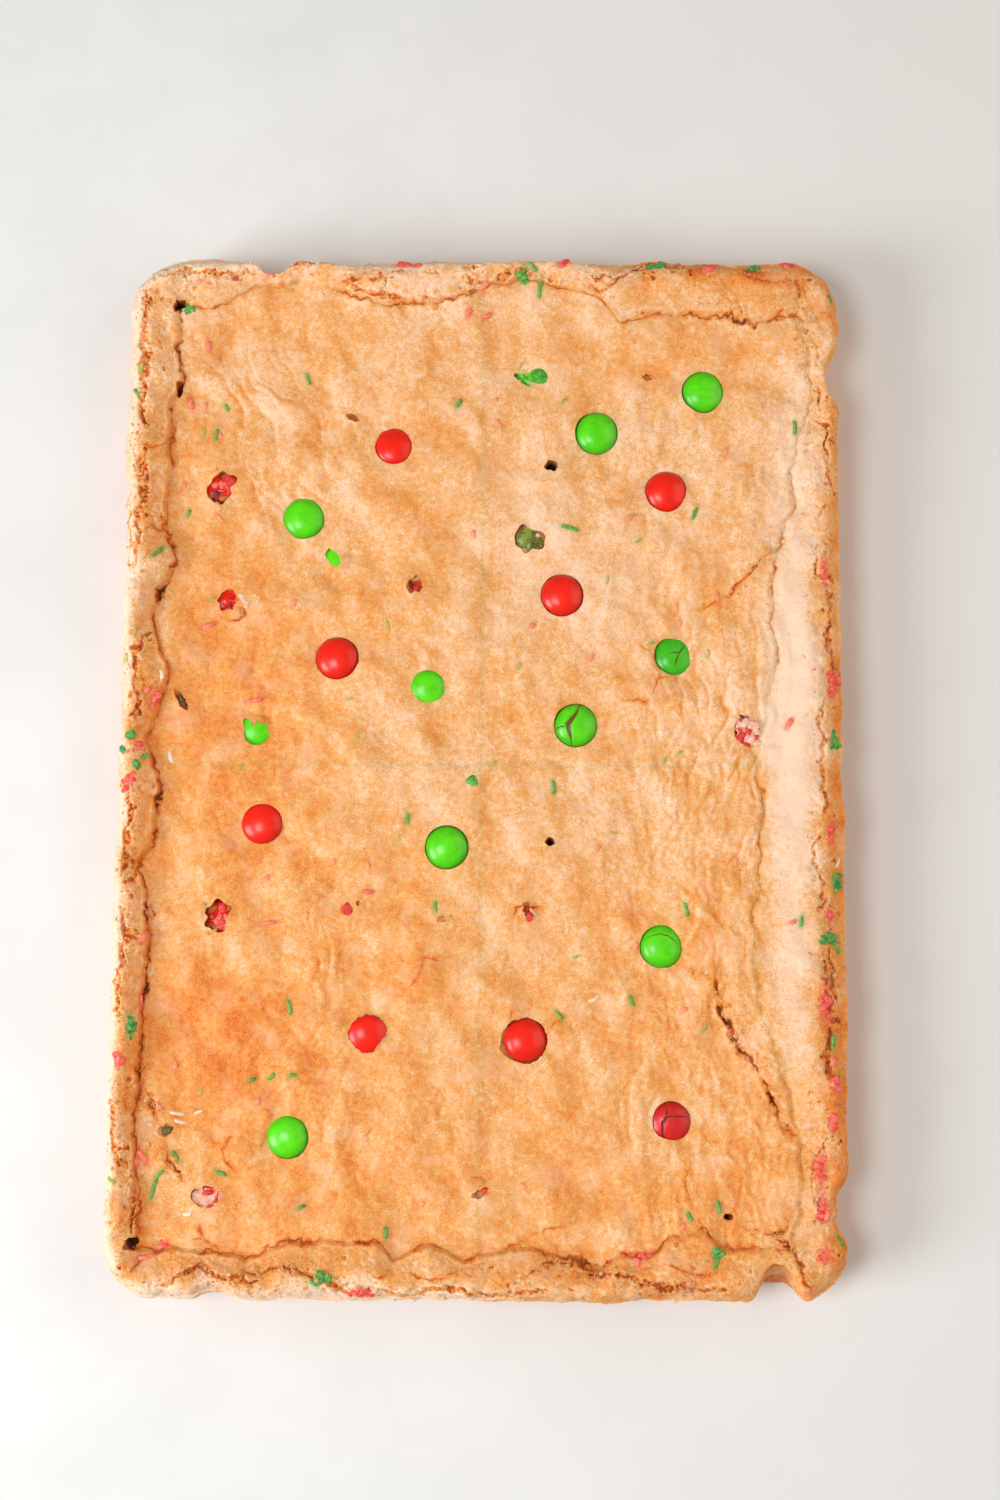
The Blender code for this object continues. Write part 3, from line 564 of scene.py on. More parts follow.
def middle_height(x, y):
    """Height of the sunken middle: swells and wrinkles, rising towards each side, with mounds and
    dimples."""
    height = MIDDLE_HEIGHT + 0.9 * swell(x, y, 42, 3) + 0.5 * swell(x, y, 19, 5)
    wrinkled = smoothstep((x - 20) / 40)
    height += 0.55 * wrinkled * (1 - 2.2 * np.abs(swell(x + 0.12 * y, y, 9, 8, 2.6)))
    for side, gap in inside_folds(x, y).items():
        height += SIDES[side]["rise"] * np.exp(-((np.maximum(gap, 0) / SIDES[side]["reach"]) ** 2))
    for mound_x, mound_y, radius, rise in MOUNDS:
        height += rise * np.exp(-((x - mound_x) ** 2 + (y - mound_y) ** 2) / radius**2)
    gap, share = distance_to(STEP_CRACK, x, y)
    height -= STEP_HEIGHT * np.sin(math.pi * share) * np.tanh(gap / STEP_WIDTH) * np.exp(-np.abs(gap) / 14)
    for candy in bare:
        reach = ((x - candy.centre[0]) ** 2 + (y - candy.centre[1]) ** 2) / DIMPLE_RADIUS**2
        height -= DIMPLE_DEPTH * np.exp(-reach)
    return height


def rim_lift(ring, x, y, out_x, out_y, base):
    """What the rim adds to the middle's height: a ledge at the fold, a crest, and a rounded shoulder."""
    weights = {
        "left": np.maximum(-out_x, 0) ** 2,
        "right": np.maximum(out_x, 0) ** 2,
        "bottom": np.maximum(-out_y, 0) ** 2,
        "top": np.maximum(out_y, 0) ** 2,
    }
    ledge = sum(weights[side] * SIDES[side]["ledge"] for side in SIDES)
    crest = RIM_HEIGHT + 1.1 * swell(x, y, 31, 12) + 0.8 * swell(x, y, 12, 13)
    t = np.clip(ring - 1, 0, 1)
    climb = ledge * smoothstep(t / 0.09) + (1 - ledge) * smoothstep((t - 0.05) / 0.5)
    crags = 0.9 * swell(x, y, 7, 17) * smoothstep(t / 0.3) * smoothstep((1.1 - t) / 0.3)
    shoulder = SHOULDER_DROP * smoothstep((t - 0.55) / 0.45) ** 2
    return np.where(ring > 1, (crest - base) * climb + crags - shoulder, 0)


def creased(x, y, heading, size, stretch, seed):
    """Folds that run along a heading: swollen lobes drawn out by stretch, and narrow valleys between them
    where gradient noise crosses zero. A second noise lets each valley come and go."""
    turn = math.radians(heading)
    ahead = x * math.cos(turn) + y * math.sin(turn)
    across = y * math.cos(turn) - x * math.sin(turn)
    relief = 0.3 * swell(across, ahead, size * 1.6, seed + 2, stretch)
    for layer, share in enumerate((1.0, 0.5)):
        cell = size * 0.5**layer
        wave = np.abs(swell(across, ahead, cell, seed + layer, stretch))
        patch = swell(across, ahead, cell * 1.7, seed + 7 + layer, stretch)
        there = share * smoothstep((patch + 0.35) / 0.6)
        relief = relief + there * (0.9 * (1 - np.exp(-wave / 0.22)) - 0.4)
    return relief


# How the baked skin creases: heading, size, stretch, height, and where: middle and half widths in x and y
CREASES = (
    (86, 9.5, 2.8, 1.5, 74, -8, 26, 62),
    (60, 10.0, 2.0, 0.7, 42, -112, 38, 36),
    (50, 10.0, 2.0, 0.6, 60, 95, 40, 45),
    (-58, 9.0, 3.0, 1.1, -68, 106, 24, 36),
    (80, 4.5, 2.2, 0.7, -50, -54, 14, 20),
    (38, 12.0, 1.8, 1.3, -42, -108, 46, 30),
    (60, 10.0, 1.8, 0.2, -18, 62, 24, 30),
    (75, 12.0, 1.6, 0.35, 5, -50, 30, 60),
)
# What the skin has where none of those is near: the same first four, and how much it weighs against them
FAINT_CREASES = (70, 13.0, 1.4, 0.2)
FAINT_WEIGHT = 0.35
# How strongly the skin puckers round each bare lentil, where it isn't PUCKER
PUCKERS = {"candy_14": 0.8, "candy_15": 0.8, "candy_18": 0.7}
PUCKER = 0.35
PUCKER_REACH = 30


def puckers(x, y):
    """Soft folds that run out from each bare lentil: noise round the circle, fading with the distance."""
    total = np.zeros_like(x)
    for number, candy in enumerate(bare):
        dx = x - candy.centre[0]
        dy = y - candy.centre[1]
        near = dx**2 + dy**2 < PUCKER_REACH**2
        radius = np.maximum(np.hypot(dx[near], dy[near]), 1)
        around_x, around_y = dx[near] / radius, dy[near] / radius
        folds = swell(1.4 * around_x, 1.4 * around_y, 1.0, 430 + number)
        total[near] += PUCKERS.get(candy.node, PUCKER) * folds * np.exp(-(((radius - 11) / 9) ** 2))
    return total


def wrinkles(x, y):
    """The baked skin's relief: creases that run differently in each part, blended by how near its middle is,
    with lumps of several sizes under them and crinkles a few millimetres apart on them."""
    sway_x = x + 3.0 * swell(x, y, 21, 41) + 1.4 * swell(x, y, 6.5, 49)
    sway_y = y + 3.0 * swell(x, y, 23, 42) + 1.4 * swell(x, y, 6.5, 50)
    heading, size, stretch, high = FAINT_CREASES
    total = FAINT_WEIGHT * high * creased(sway_x, sway_y, heading, size, stretch, 400)
    weights = FAINT_WEIGHT
    for number, (heading, size, stretch, high, at_x, at_y, wide, tall) in enumerate(CREASES):
        near = np.exp(-2 * (((x - at_x) / wide) ** 2 + ((y - at_y) / tall) ** 2))
        total = total + near * high * creased(sway_x, sway_y, heading, size, stretch, 410 + 10 * number)
        weights = weights + near
    crinkles = 1 - 2.4 * np.abs(swell(sway_x, sway_y, 3.2, 48, 1.6))
    swollen = 1.4 * swell(x, y, 15, 47) + 0.55 * swell(sway_x, sway_y, 8, 46)
    swollen += 0.14 * swell(sway_x, sway_y, 4, 45)
    crinkled = 0.03 + 0.13 * smoothstep((x - 25) / 40) * smoothstep((60 - y) / 60)
    return total / weights + crinkled * crinkles + swollen + puckers(sway_x, sway_y) - 0.1


# How far towards the key light the painted shade looks, to tell which side of a slope faces it
SLOPE_STEP = (-0.75, -0.3)


def lit_side_shade(x, y, relief):
    """Painted light: the skin's drop towards the key, above 0 where it faces left, which is painted paler.
    """
    return (relief - wrinkles(x + SLOPE_STEP[0], y + SLOPE_STEP[1])) / math.hypot(*SLOPE_STEP)


# How far from its route a rift or a crack can have anything to do with the crust
RIFT_REACH = 9.0
CRACK_REACH = 8.0


def crags(d_edge, x, y, flat):
    """How far the crust has broken down to crumb, from 0 to 1, and how its broken edge stands up. A rift is
    a band along its route whose middle line and width both stray by ragged noise; beyond the rifts, pits
    open where ragged noise is high along the rim's crest."""
    stray = 1.5 * ragged(flat, 3.4, 4, 90)
    opening = 0.15 + 0.75 * ragged(flat, 4.6, 3, 92)
    inside = np.full(x.shape, -9.0)
    for width, route in RIFTS:
        gap, share = distance_to(route, x, y, RIFT_REACH)
        taper = smoothstep(share / 0.12) * smoothstep((1 - share) / 0.12)
        opened = width * (0.24 * taper + 0.34 * opening) - 0.3 * (taper < 0.05)
        inside = np.maximum(inside, opened - np.abs(gap + stray))
    band = np.exp(-(((d_edge - 5.0) / 3.6) ** 2)) * smoothstep((swell(x, y, 15, 91) + 0.9) / 0.6)
    pits = 1.6 * (ragged(flat, 2.8, 4, 94) + 0.35 * band - 0.95)
    inside = np.maximum(inside, pits)
    return smoothstep(inside + 0.3), np.exp(-(((inside + 0.55) / 0.32) ** 2))


def crack_field(x, y, ring, u, v, flat):
    """For each point: signed distance to the nearest crack, that crack's width there (0 far from any), the
    depth of the groove, and how far the broken edges curl up. A crack's edges stray by ragged noise, its
    width comes and goes, and it narrows to its ends."""
    fray = 1.4 * ragged(flat, 2.2, 3, 50)
    thinning = np.clip(0.75 + 1.5 * grit(flat, 3.4, 58) + 0.6 * grit(flat, 1.3, 59), 0, 1.8)
    stray_x = x + 0.9 * swell(x, y, 4.2, 51) + 0.5 * swell(x, y, 1.9, 52)
    stray_y = y + 0.9 * swell(x, y, 4.2, 53) + 0.5 * swell(x, y, 1.9, 54)
    beside = np.abs(u) >= np.abs(v)
    gape = np.where(
        beside,
        np.where(u > 0, 0.6 * along(FOLD_GAPE["right"], y), 1.25 * along(FOLD_GAPE["left"], y)),
        np.where(v > 0, along(FOLD_GAPE["top"], x), along(FOLD_GAPE["bottom"], x)),
    )
    gape = 0.75 * gape * thinning
    half = np.where(beside, HALF_WIDTH, HALF_LENGTH) - CORNER_RADIUS
    signed = (ring - 1) * np.where(ring > 1, CORNER_RADIUS, half) + fray * np.minimum(gape * 2, 1)
    nearest = np.abs(signed)
    groove = 0.45 * gape**1.5 * np.exp(-((nearest / (0.2 + 0.4 * gape)) ** 1.5))
    curl = 0.3 * np.sqrt(gape) * np.exp(-(((nearest - 1.2 - gape / 2) / 0.9) ** 2)) * (ring < 1)
    for width, depth, route in CRACKS:
        gap, share = distance_to(route, stray_x, stray_y, CRACK_REACH)
        gap = gap + 0.7 * fray * min(width, 0.8)
        size = np.abs(gap)
        taper = smoothstep(share / 0.25) * smoothstep((1 - share) / 0.25) * thinning
        closer = size - width * taper / 2 < nearest - gape / 2
        signed = np.where(closer, gap, signed)
        gape = np.where(closer, width * taper, gape)
        nearest = np.where(closer, size, nearest)
        groove = np.maximum(groove, 0.22 * depth * taper * np.exp(-((size / (0.2 + 0.4 * width)) ** 1.5)))
        curl += 0.35 * width * taper * np.exp(-(((size - 1.1 - width / 2) / 0.8) ** 2))
    gape = gape * smoothstep((3.2 - nearest) / 1.6)
    return signed, gape, groove, curl


# The directions that a hollow's edge is worked out in
EDGE_ANGLES = np.linspace(-math.pi, math.pi, 121)


def round_noise(share, seed):
    """Noise for each direction of a hollow's edge, with more lobes the larger the share."""
    return swell(share * np.cos(EDGE_ANGLES), share * np.sin(EDGE_ANGLES), 1.0, seed)


def pit_edge(pit, seed):
    """A pit's radius in each direction: an ellipse's, made ragged by noise round the circle."""
    _, _, long, wide, heading, _, frayed = pit
    turned = EDGE_ANGLES - math.radians(heading)
    ellipse = long * wide / np.hypot(wide * np.cos(turned), long * np.sin(turned))
    return ellipse * (1 + frayed * 1.5 * round_noise(1.4, seed))


def shown_edge(candy, seed):
    """How far out a lentil shows above the crust in each direction: the last place along a ray where its top
    is above the crust, plus a hair's gap that varies."""
    reach = np.arange(0.5, 7.2, 0.05)
    ray = reach[None, :]
    x = candy.centre[0] + np.cos(EDGE_ANGLES)[:, None] * ray
    y = candy.centre[1] + np.sin(EDGE_ANGLES)[:, None] * ray
    _, top, inside = candy.heights(x, y)
    above = inside & (top > middle_height(x, y) - 0.05)
    last = np.where(above.any(axis=1), above.shape[1] - 1 - above[:, ::-1].argmax(axis=1), 0)
    return reach[last] + 0.3 + 0.12 * round_noise(1.5, seed)


def outlined_edge(candy, seed):
    """The edge of the crust round a lentil that has its own outline, ragged by noise round the circle."""
    reach = np.interp(np.degrees(EDGE_ANGLES), *np.array(OUTLINES[candy.node]).T)
    return reach * (1 + 0.06 * round_noise(5, seed))


# How near a hollow's edge the grid is drawn onto it, and how far from its middle anything is moved for it
PULL_IN = 1.2
HOLLOW_REACH = 11
# How far the edge is raised round a lentil and round a pit, the gap under a lentil, and the crust over one
POCKET_LIP = 0.12
PIT_LIP = 0.3
POCKET_GAP = 0.35
SKIN = 0.12


class Hollow:
    """A hole in the crust round a bare lentil, or a pit: its edge by direction, what is at its bottom, how
    far its edge is raised, and the lentil that the crust beyond the edge lies over, if there is one."""

    def __init__(self, centre, edge, floor_of, lip, covered=None):
        self.centre = centre
        self.edge = edge
        self.floor_of = floor_of
        self.lip = lip
        self.covered = covered

    def polar(self, x, y):
        """Distance beyond the hollow's edge, and the radius and direction from its middle."""
        dx = x - self.centre[0]
        dy = y - self.centre[1]
        angle = np.arctan2(dy, dx)
        radius = np.hypot(dx, dy)
        return radius - np.interp(angle, EDGE_ANGLES, self.edge), radius, angle

    def near(self, x, y):
        """Which points are near enough to have anything to do with it."""
        return np.hypot(x - self.centre[0], y - self.centre[1]) < HOLLOW_REACH

    def gather(self, x, y):
        """Draws the grid points near the edge onto it, each from its own side, so that the edge is clean."""
        beyond, radius, angle = self.polar(x, y)
        drawn = beyond * (np.minimum(np.abs(beyond) / PULL_IN, 1) ** 2.4 - 1) + radius
        return self.centre[0] + drawn * np.cos(angle), self.centre[1] + drawn * np.sin(angle)


def pocket_floor(candy):
    """The floor of a lentil's pocket: a little under the lentil."""

    def floor(x, y, crust):
        low, _, inside = candy.heights(x, y)
        return np.where(inside, low - POCKET_GAP, candy.centre[2] - POCKET_GAP)

    return floor


def pit_floor(pit, candy, seed):
    """The floor of a pit: crumb that falls away from the edge, rough, and under the lentil if there is
    one."""
    x0, y0, long, wide, _, depth, _ = pit

    def floor(x, y, crust):
        share = 1 - np.hypot(x - x0, y - y0) / max(long, wide)
        bottom = crust - depth * (0.45 + 0.55 * smoothstep(share * 1.6)) + 0.5 * swell(x, y, 1.9, seed)
        if candy is None:
            return bottom
        _, top, inside = candy.heights(x, y)
        return np.where(inside, np.minimum(bottom, top - 0.25 + 0.9 * swell(x, y, 3.6, seed + 1)), bottom)

    return floor


def make_hollows():
    """A hollow for each bare lentil, and one for each pit."""
    made = []
    for number, candy in enumerate(bare):
        outlined = candy.node in OUTLINES
        edge = outlined_edge(candy, 60 + number) if outlined else shown_edge(candy, 60 + number)
        covered = candy if outlined else None
        made.append(Hollow(candy.centre, edge, pocket_floor(candy), POCKET_LIP, covered))
    for number, pit in enumerate(PITS):
        candy = buried[number] if number < LENTIL_PITS else None
        edge = pit_edge(pit, 90 + number)
        made.append(Hollow(pit[:2], edge, pit_floor(pit, candy, 120 + number), PIT_LIP))
    return made


hollows = make_hollows()


# How far the wrinkled middle stands above the pale band along the right, at the fold
RIGHT_STEP = 0.45
# Where the crust's crests are held down to, and how softly
HIGHEST = 26.3
CREST_GIVE = 0.4
# How far the shoulder at the top of the wall is rounded in and down
SHOULDER_IN = 0.8
SHOULDER_DOWN = 0.7


def edge_dents(ring, edge_x, edge_y):
    """How far the edge is dented inwards, by waves, pleats, the taper of the wall and the roundings at its
    top and foot, and how far the crust is lowered by them."""
    down = np.clip(ring - 2, 0, 1)
    outer = smoothstep((ring - 1.15) / 0.85)
    shoulder = np.exp(-(((ring - 2) / np.where(ring < 2, 0.14, 0.1)) ** 2))
    dent = -0.6 - 0.9 * swell(edge_x, edge_y, 24, 21) - 0.4 * swell(edge_x, edge_y, 9, 22)
    lower = SHOULDER_DOWN * shoulder
    for pleat_x, pleat_y, half_width, depth, left in PLEATS:
        reach = ((edge_x - pleat_x) ** 2 + (edge_y - pleat_y) ** 2) / half_width**2
        dent += depth * (1 - (1 - left) * down) * np.exp(-(reach**1.5))
        lower += 0.18 * depth * outer * (1 - down) * np.exp(-(reach**1.5))
    foot = BASE_ROUND * smoothstep((down - 0.86) / 0.14) ** 2
    return dent * outer + WALL_TAPER * down + foot + SHOULDER_IN * shoulder, lower


def sink_hollows(x, y, height, on_top):
    """Sinks the hollows into the crust's heights, in place, and gives how deep they are at each point."""
    depths = np.zeros_like(height)
    for hollow in hollows:
        near = hollow.near(x, y) & on_top
        hx, hy, crust = x[near], y[near], height[near]
        beyond, _, _ = hollow.polar(hx, hy)
        inside = beyond < 0
        floor = hollow.floor_of(hx, hy, crust)
        depths[near] = np.where(inside, np.maximum(crust - floor, 0), depths[near])
        raised = hollow.lip * np.exp(-((np.maximum(beyond, 0) / 0.8) ** 2))
        crust = np.where(inside, np.minimum(floor, crust), crust + raised)
        if hollow.covered:
            _, top, reached = hollow.covered.heights(hx, hy)
            crust = np.where(reached & ~inside, np.maximum(crust, top + SKIN), crust)
        height[near] = crust
    return depths


def crust_surface(u, v):
    """The crust's points for grid coordinates u and v, and the values that its finish reads.
    The solid's form comes first, then wrinkles, cracks, crags and hollows on top of it."""
    ring = np.maximum(np.abs(u), np.abs(v))
    x, y, out_x, out_y, edge_x, edge_y = sheet_places(u, v)
    for hollow in hollows:
        near = hollow.near(x, y)
        x[near], y[near] = hollow.gather(x[near], y[near])
    flat = np.stack([x, y, np.zeros_like(x)], axis=1)
    base = middle_height(x, y)
    height = base + rim_lift(ring, x, y, out_x, out_y, base)
    on_rim = smoothstep((ring - 1) / 0.15)
    topside = 1 - smoothstep((ring - 1.9) / 0.1)
    rough = on_rim * (1 - 0.8 * smoothstep((x - 80) / 10) * smoothstep((105 - x) / 4))
    down = np.clip(ring - 2, 0, 1)
    signed, gape, groove, curl = crack_field(x, y, ring, u, v, flat)
    relief = wrinkles(x, y)
    # shade is painted light: paler where the skin faces the key on the left, darker where it faces away
    shade = lit_side_shade(x, y, relief) * (1 - on_rim)
    relief = relief * (1 - on_rim)
    height += relief - groove * topside + curl * (ring < 1.9)
    from_right = HALF_WIDTH - along(FOLD_INSET["right"], y) - x
    stepped = smoothstep((1 - ring) * HALF_WIDTH / 2.5) * np.exp(-np.maximum(from_right, 0) / 5)
    height += RIGHT_STEP * stepped * (u > 0) * (np.abs(v) < u)
    height += rough * 0.4 * ragged(flat, 3.6, 3, 71) * topside + (1 - rough) * 0.1 * grit(flat, 1.6, 73)
    d_edge = np.where(ring > 1, (edge_x - x) * out_x + (edge_y - y) * out_y, 99)
    crumbled, lip = crags(d_edge, x, y, flat)
    on_top = (ring > 1) * topside * smoothstep((ring - 1) / 0.08)
    crumbled = crumbled * on_top * np.maximum(rough, 0.1)
    granules = np.minimum(2.2 * np.abs(swell(x, y, 1.7, 76)) + 0.5 * np.abs(swell(x, y, 0.9, 77)), 1)
    height += 0.25 * lip * on_top * rough - crumbled * (1.1 - 0.9 * granules + 0.4 * grit(flat, 2.6, 78))
    dent, lower = edge_dents(ring, edge_x, edge_y)
    height -= lower
    over = height - HIGHEST
    height = np.where(over > 0, HIGHEST + CREST_GIVE * np.tanh(over / CREST_GIVE), height) * (1 - down)
    on_wall = np.stack([edge_x, edge_y, height], axis=1)
    wall = smoothstep((ring - 1.6) / 0.4) * smoothstep((1 - down) / 0.12)
    dent += wall * (0.5 * ragged(on_wall, 4.5, 4, 74) + 0.25)
    hollow_depth = sink_hollows(x, y, height, ring < 1.95)
    points = np.stack([x - out_x * dent, y - out_y * dent, height], axis=1)
    # Browner along each crack: partly the crust's own browning, partly painted shade along the crack
    crack_browning_and_shade = 0.24 * np.exp(-(signed**2)) * (0.3 + 0.7 * np.minimum(gape * 3, 1))
    values = {
        "bake": baking(points, ring) + crack_browning_and_shade,
        "crack_gap": signed,
        "crack_width": gape,
        "hollow": hollow_depth,
        "rough": rough,
        "pitted": crumbled,
        # relief carries painted light: the shade of slopes, a painted highlight on raised broken edges, and
        # painted shade in the gaps between crumb granules
        "relief": shade + 0.4 * lip * on_top * rough + crumbled * (1.7 * granules - 1.7),
        "green_dye": np.maximum(stain(points, GREEN_STRANDS, 1.2), 0.7 * stain(points, GREEN_FAINT, 1.2)),
        "red_dye": np.maximum(stain(points, RED_STRANDS, 1.3), 0.7 * stain(points, RED_FAINT, 1.3)),
        "green_melt": melted(points, GREEN_CHIPS),
        "red_melt": melted(points, RED_CHIPS),
    }
    return points, values


def smooth_noise(points, sizes, seed):
    """Several sizes of gradient noise added up, the smaller ones weaker."""
    total = 0
    for n, size in enumerate(sizes):
        total = total + swell(points[:, 0], points[:, 1], size, seed + n) / (n + 1)
    return total


def fading_down(points):
    """1 on top of the slab, and 0 low on its wall."""
    return smoothstep((points[:, 2] - 14) / 6)


def stain(points, strands, spread):
    """How near each point is to a sugar strand, from 0 to 1, falling off over the spread, and down the
    wall."""
    found = np.zeros(len(points))
    for x, y, heading, length in strands:
        ahead = np.array([math.cos(math.radians(heading)), math.sin(math.radians(heading))]) * length / 2
        close = np.abs(points[:, 0] - x) + np.abs(points[:, 1] - y) < 12
        gap, _ = distance_to(((x, y) - ahead, (x, y) + ahead), points[close, 0], points[close, 1])
        found[close] = np.maximum(found[close], np.exp(-((gap / spread) ** 2)))
    return found * fading_down(points)


# How strongly clusters of broken lentil dye the crust, and how far beyond their own spread
MELT_STRENGTH = 0.62
MELT_SPREAD = 1.6


def melted(points, clusters):
    """How near each point is to a cluster of broken lentil, falling off down the wall."""
    x, y = points[:, 0], points[:, 1]
    return MELT_STRENGTH * fading_down(points) * sum(
        np.exp(-(((x - at_x) / (MELT_SPREAD * wide)) ** 2) - ((y - at_y) / (MELT_SPREAD * tall)) ** 2)
        for at_x, at_y, wide, tall, _ in clusters
    )


def baking(points, ring):
    """How brown the crust is, from 0 for pale to 1 for brown: broad clouds, the patches of TONES, and the
    rim, whose outer part has painted light: paler on the left, towards the key, and browner on the right."""
    x, y = points[:, 0], points[:, 1]
    tone = 0.43 + 0.1 * smooth_noise(points, (38, 17, 8), 81)
    above = 1 - 0.75 * smoothstep((ring - 1.95) / 0.25)
    for tone_x, tone_y, wide, high, amount in TONES:
        tone += above * amount * np.exp(-(((x - tone_x) / wide) ** 2) - ((y - tone_y) / high) ** 2)
    tone += 0.2 * smoothstep((ring - 1.25) / 0.4) * smooth_noise(points, (11, 5), 85)
    # Painted light: the outer rim and wall paler on the left, towards the key, and browner on the right
    tone += above * (0.2 * np.clip(x / 80, -1, 1) - 0.15) * smoothstep((ring - 1.5) / 0.3)
    return tone + 0.34 * smoothstep((ring - 2.05) / 0.7)


def mesh_object(name, points, faces, finish, attributes=None, smooth=True):
    """A mesh piece from its points in millimetres and its faces, with values per point for its finish."""
    mesh = bpy.data.meshes.new(name)
    mesh.from_pydata((points * MM).tolist(), [], faces)
    for key, values in (attributes or {}).items():
        mesh.attributes.new(key, "FLOAT", "POINT").data.foreach_set("value", np.asarray(values, np.float32))
    mesh.materials.append(finish)
    mesh.validate()
    if smooth:
        mesh.shade_smooth()
    made = bpy.data.objects.new(name, mesh)
    bpy.context.scene.collection.objects.link(made)
    return made


# How many spaces the grid has across the middle, along it, over the rim and down the wall
ACROSS = 500
ALONG = 760
OVER_RIM = 60
DOWN_WALL = 26


def middle_lines(count):
    """Grid coordinates from -1 to 1 that draw together towards the fold at both ends."""
    even = np.linspace(-1, 1, count + 1)
    return np.sign(even) * (1 - (1 - np.abs(even)) ** 1.15)


def rim_lines():
    """Grid coordinates from 3 at the base, up the wall to 2, and over the rim to 1 at the fold."""
    wall = 2 + np.linspace(1, 0, DOWN_WALL + 1)[:-1]
    return np.concatenate([wall, 1 + np.linspace(1, 0, OVER_RIM + 1) ** 1.2])


def grid_faces(index):
    """The quads of a grid of points."""
    return np.stack([index[:-1, :-1], index[:-1, 1:], index[1:, 1:], index[1:, :-1]], axis=-1).reshape(-1, 4)


def curtain_faces(top, foot):
    """Quads that hang from a line of points to the points below them."""
    return np.stack([top[:-1], foot[:-1], foot[1:], top[1:]], axis=-1)


def fan_faces(line, centre):
    """Triangles from a line of points to one point."""
    return np.stack([line[:-1], np.full(len(line) - 1, centre), line[1:]], axis=-1)


def crust_piece(name, points, values, feet, faces, finish):
    """One closed piece of the crust: its grid, and under it the feet, which are the grid points of that name
    set down on the base."""
    ground = points[feet] * (1, 1, 0)
    carried = {key: np.concatenate([value, value[feet]]) for key, value in values.items()}
    every_face = [face for kind in faces for face in kind.tolist()]
    piece = mesh_object(name, np.concatenate([points, ground]), every_face, finish, carried)
    piece.data.set_sharp_from_angle(angle=math.radians(70))
    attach(piece, "root")
    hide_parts("slab")
    return piece


def make_middle(place, columns, rows, finish):
    """A quarter of the middle of the crust, inside the fold: a grid, with a curtain down to the base round
    it and a fan under it."""
    lines_u, lines_v = middle_lines(ACROSS)[columns], middle_lines(ALONG)[rows]
    u, v = (grid.ravel() for grid in np.meshgrid(lines_u, lines_v))
    points, values = crust_surface(u, v)
    index = np.arange(len(u)).reshape(len(lines_v), len(lines_u))
    border = np.concatenate([index[0, :], index[1:, -1], index[-1, -2::-1], index[-2::-1, 0]])
    foot = np.append(len(u) + np.arange(len(border) - 1), len(u))
    centre = index[len(lines_v) // 2, len(lines_u) // 2]
    under = len(u) + len(border) - 1
    feet = np.append(border[:-1], centre)
    faces = (grid_faces(index), curtain_faces(border, foot), fan_faces(foot, under)[:, ::-1])
    return crust_piece("crust_middle_" + place, points, values, feet, faces, finish)


def make_rim(side, turn_of, count, corners, finish):
    """One side of the rim: a grid whose rows run from the base over the rim to the fold, closed by a curtain
    at the fold, a strip underneath, and a fan at each end. With corners it takes in both, as rows too."""
    over = rim_lines()
    spread = middle_lines(count)
    if corners:
        spread = np.concatenate([-over[:-1], spread, over[-2::-1]])
    across, along_side = np.meshgrid(over, spread)
    u, v = turn_of(across.ravel(), along_side.ravel())
    points, values = crust_surface(u, v)
    index = np.arange(len(u)).reshape(across.shape)
    first = len(over) - 1 if corners else 0
    last = first + count
    fold = index[first : last + 1, -1]
    foot = len(u) + np.arange(len(fold))
    start = np.concatenate([index[first:0:-1, 0], index[0, :], index[1 : first + 1, -1]])
    end = np.concatenate([index[last:-1, -1], index[-1, ::-1], index[len(spread) - 2 : last - 1 : -1, 0]])
    faces = (
        grid_faces(index),
        curtain_faces(fold, foot),
        curtain_faces(foot, index[first : last + 1, 0]),
        fan_faces(start, foot[0]),
        fan_faces(end, foot[-1]),
    )
    return crust_piece("crust_" + side, points, values, fold, faces, finish)


def make_crust(finish):
    """The crust's eight pieces: four quarters of the middle, and the rim's sides, which meet them at the
    fold and each other at the corners."""
    west, east = slice(0, ACROSS // 2 + 1), slice(ACROSS // 2, ACROSS + 1)
    south, north = slice(0, ALONG // 2 + 1), slice(ALONG // 2, ALONG + 1)
    return [
        make_middle("lower_left", west, south, finish),
        make_middle("lower_right", east, south, finish),
        make_middle("upper_left", west, north, finish),
        make_middle("upper_right", east, north, finish),
        make_rim("left", lambda a, b: (-a, b), ALONG, True, finish),
        make_rim("right", lambda a, b: (a, -b), ALONG, True, finish),
        make_rim("top", lambda a, b: (b, a), ACROSS, False, finish),
        make_rim("bottom", lambda a, b: (-b, -a), ACROSS, False, finish),
    ]


# ---------------------------------------------------------------- finishes


def srgb(red, green, blue):
    """A linear colour from a display colour of 0 to 255."""
    shares = [channel / 255 for channel in (red, green, blue)]
    return [s / 12.92 if s <= 0.04045 else ((s + 0.055) / 1.055) ** 2.4 for s in shares] + [1.0]


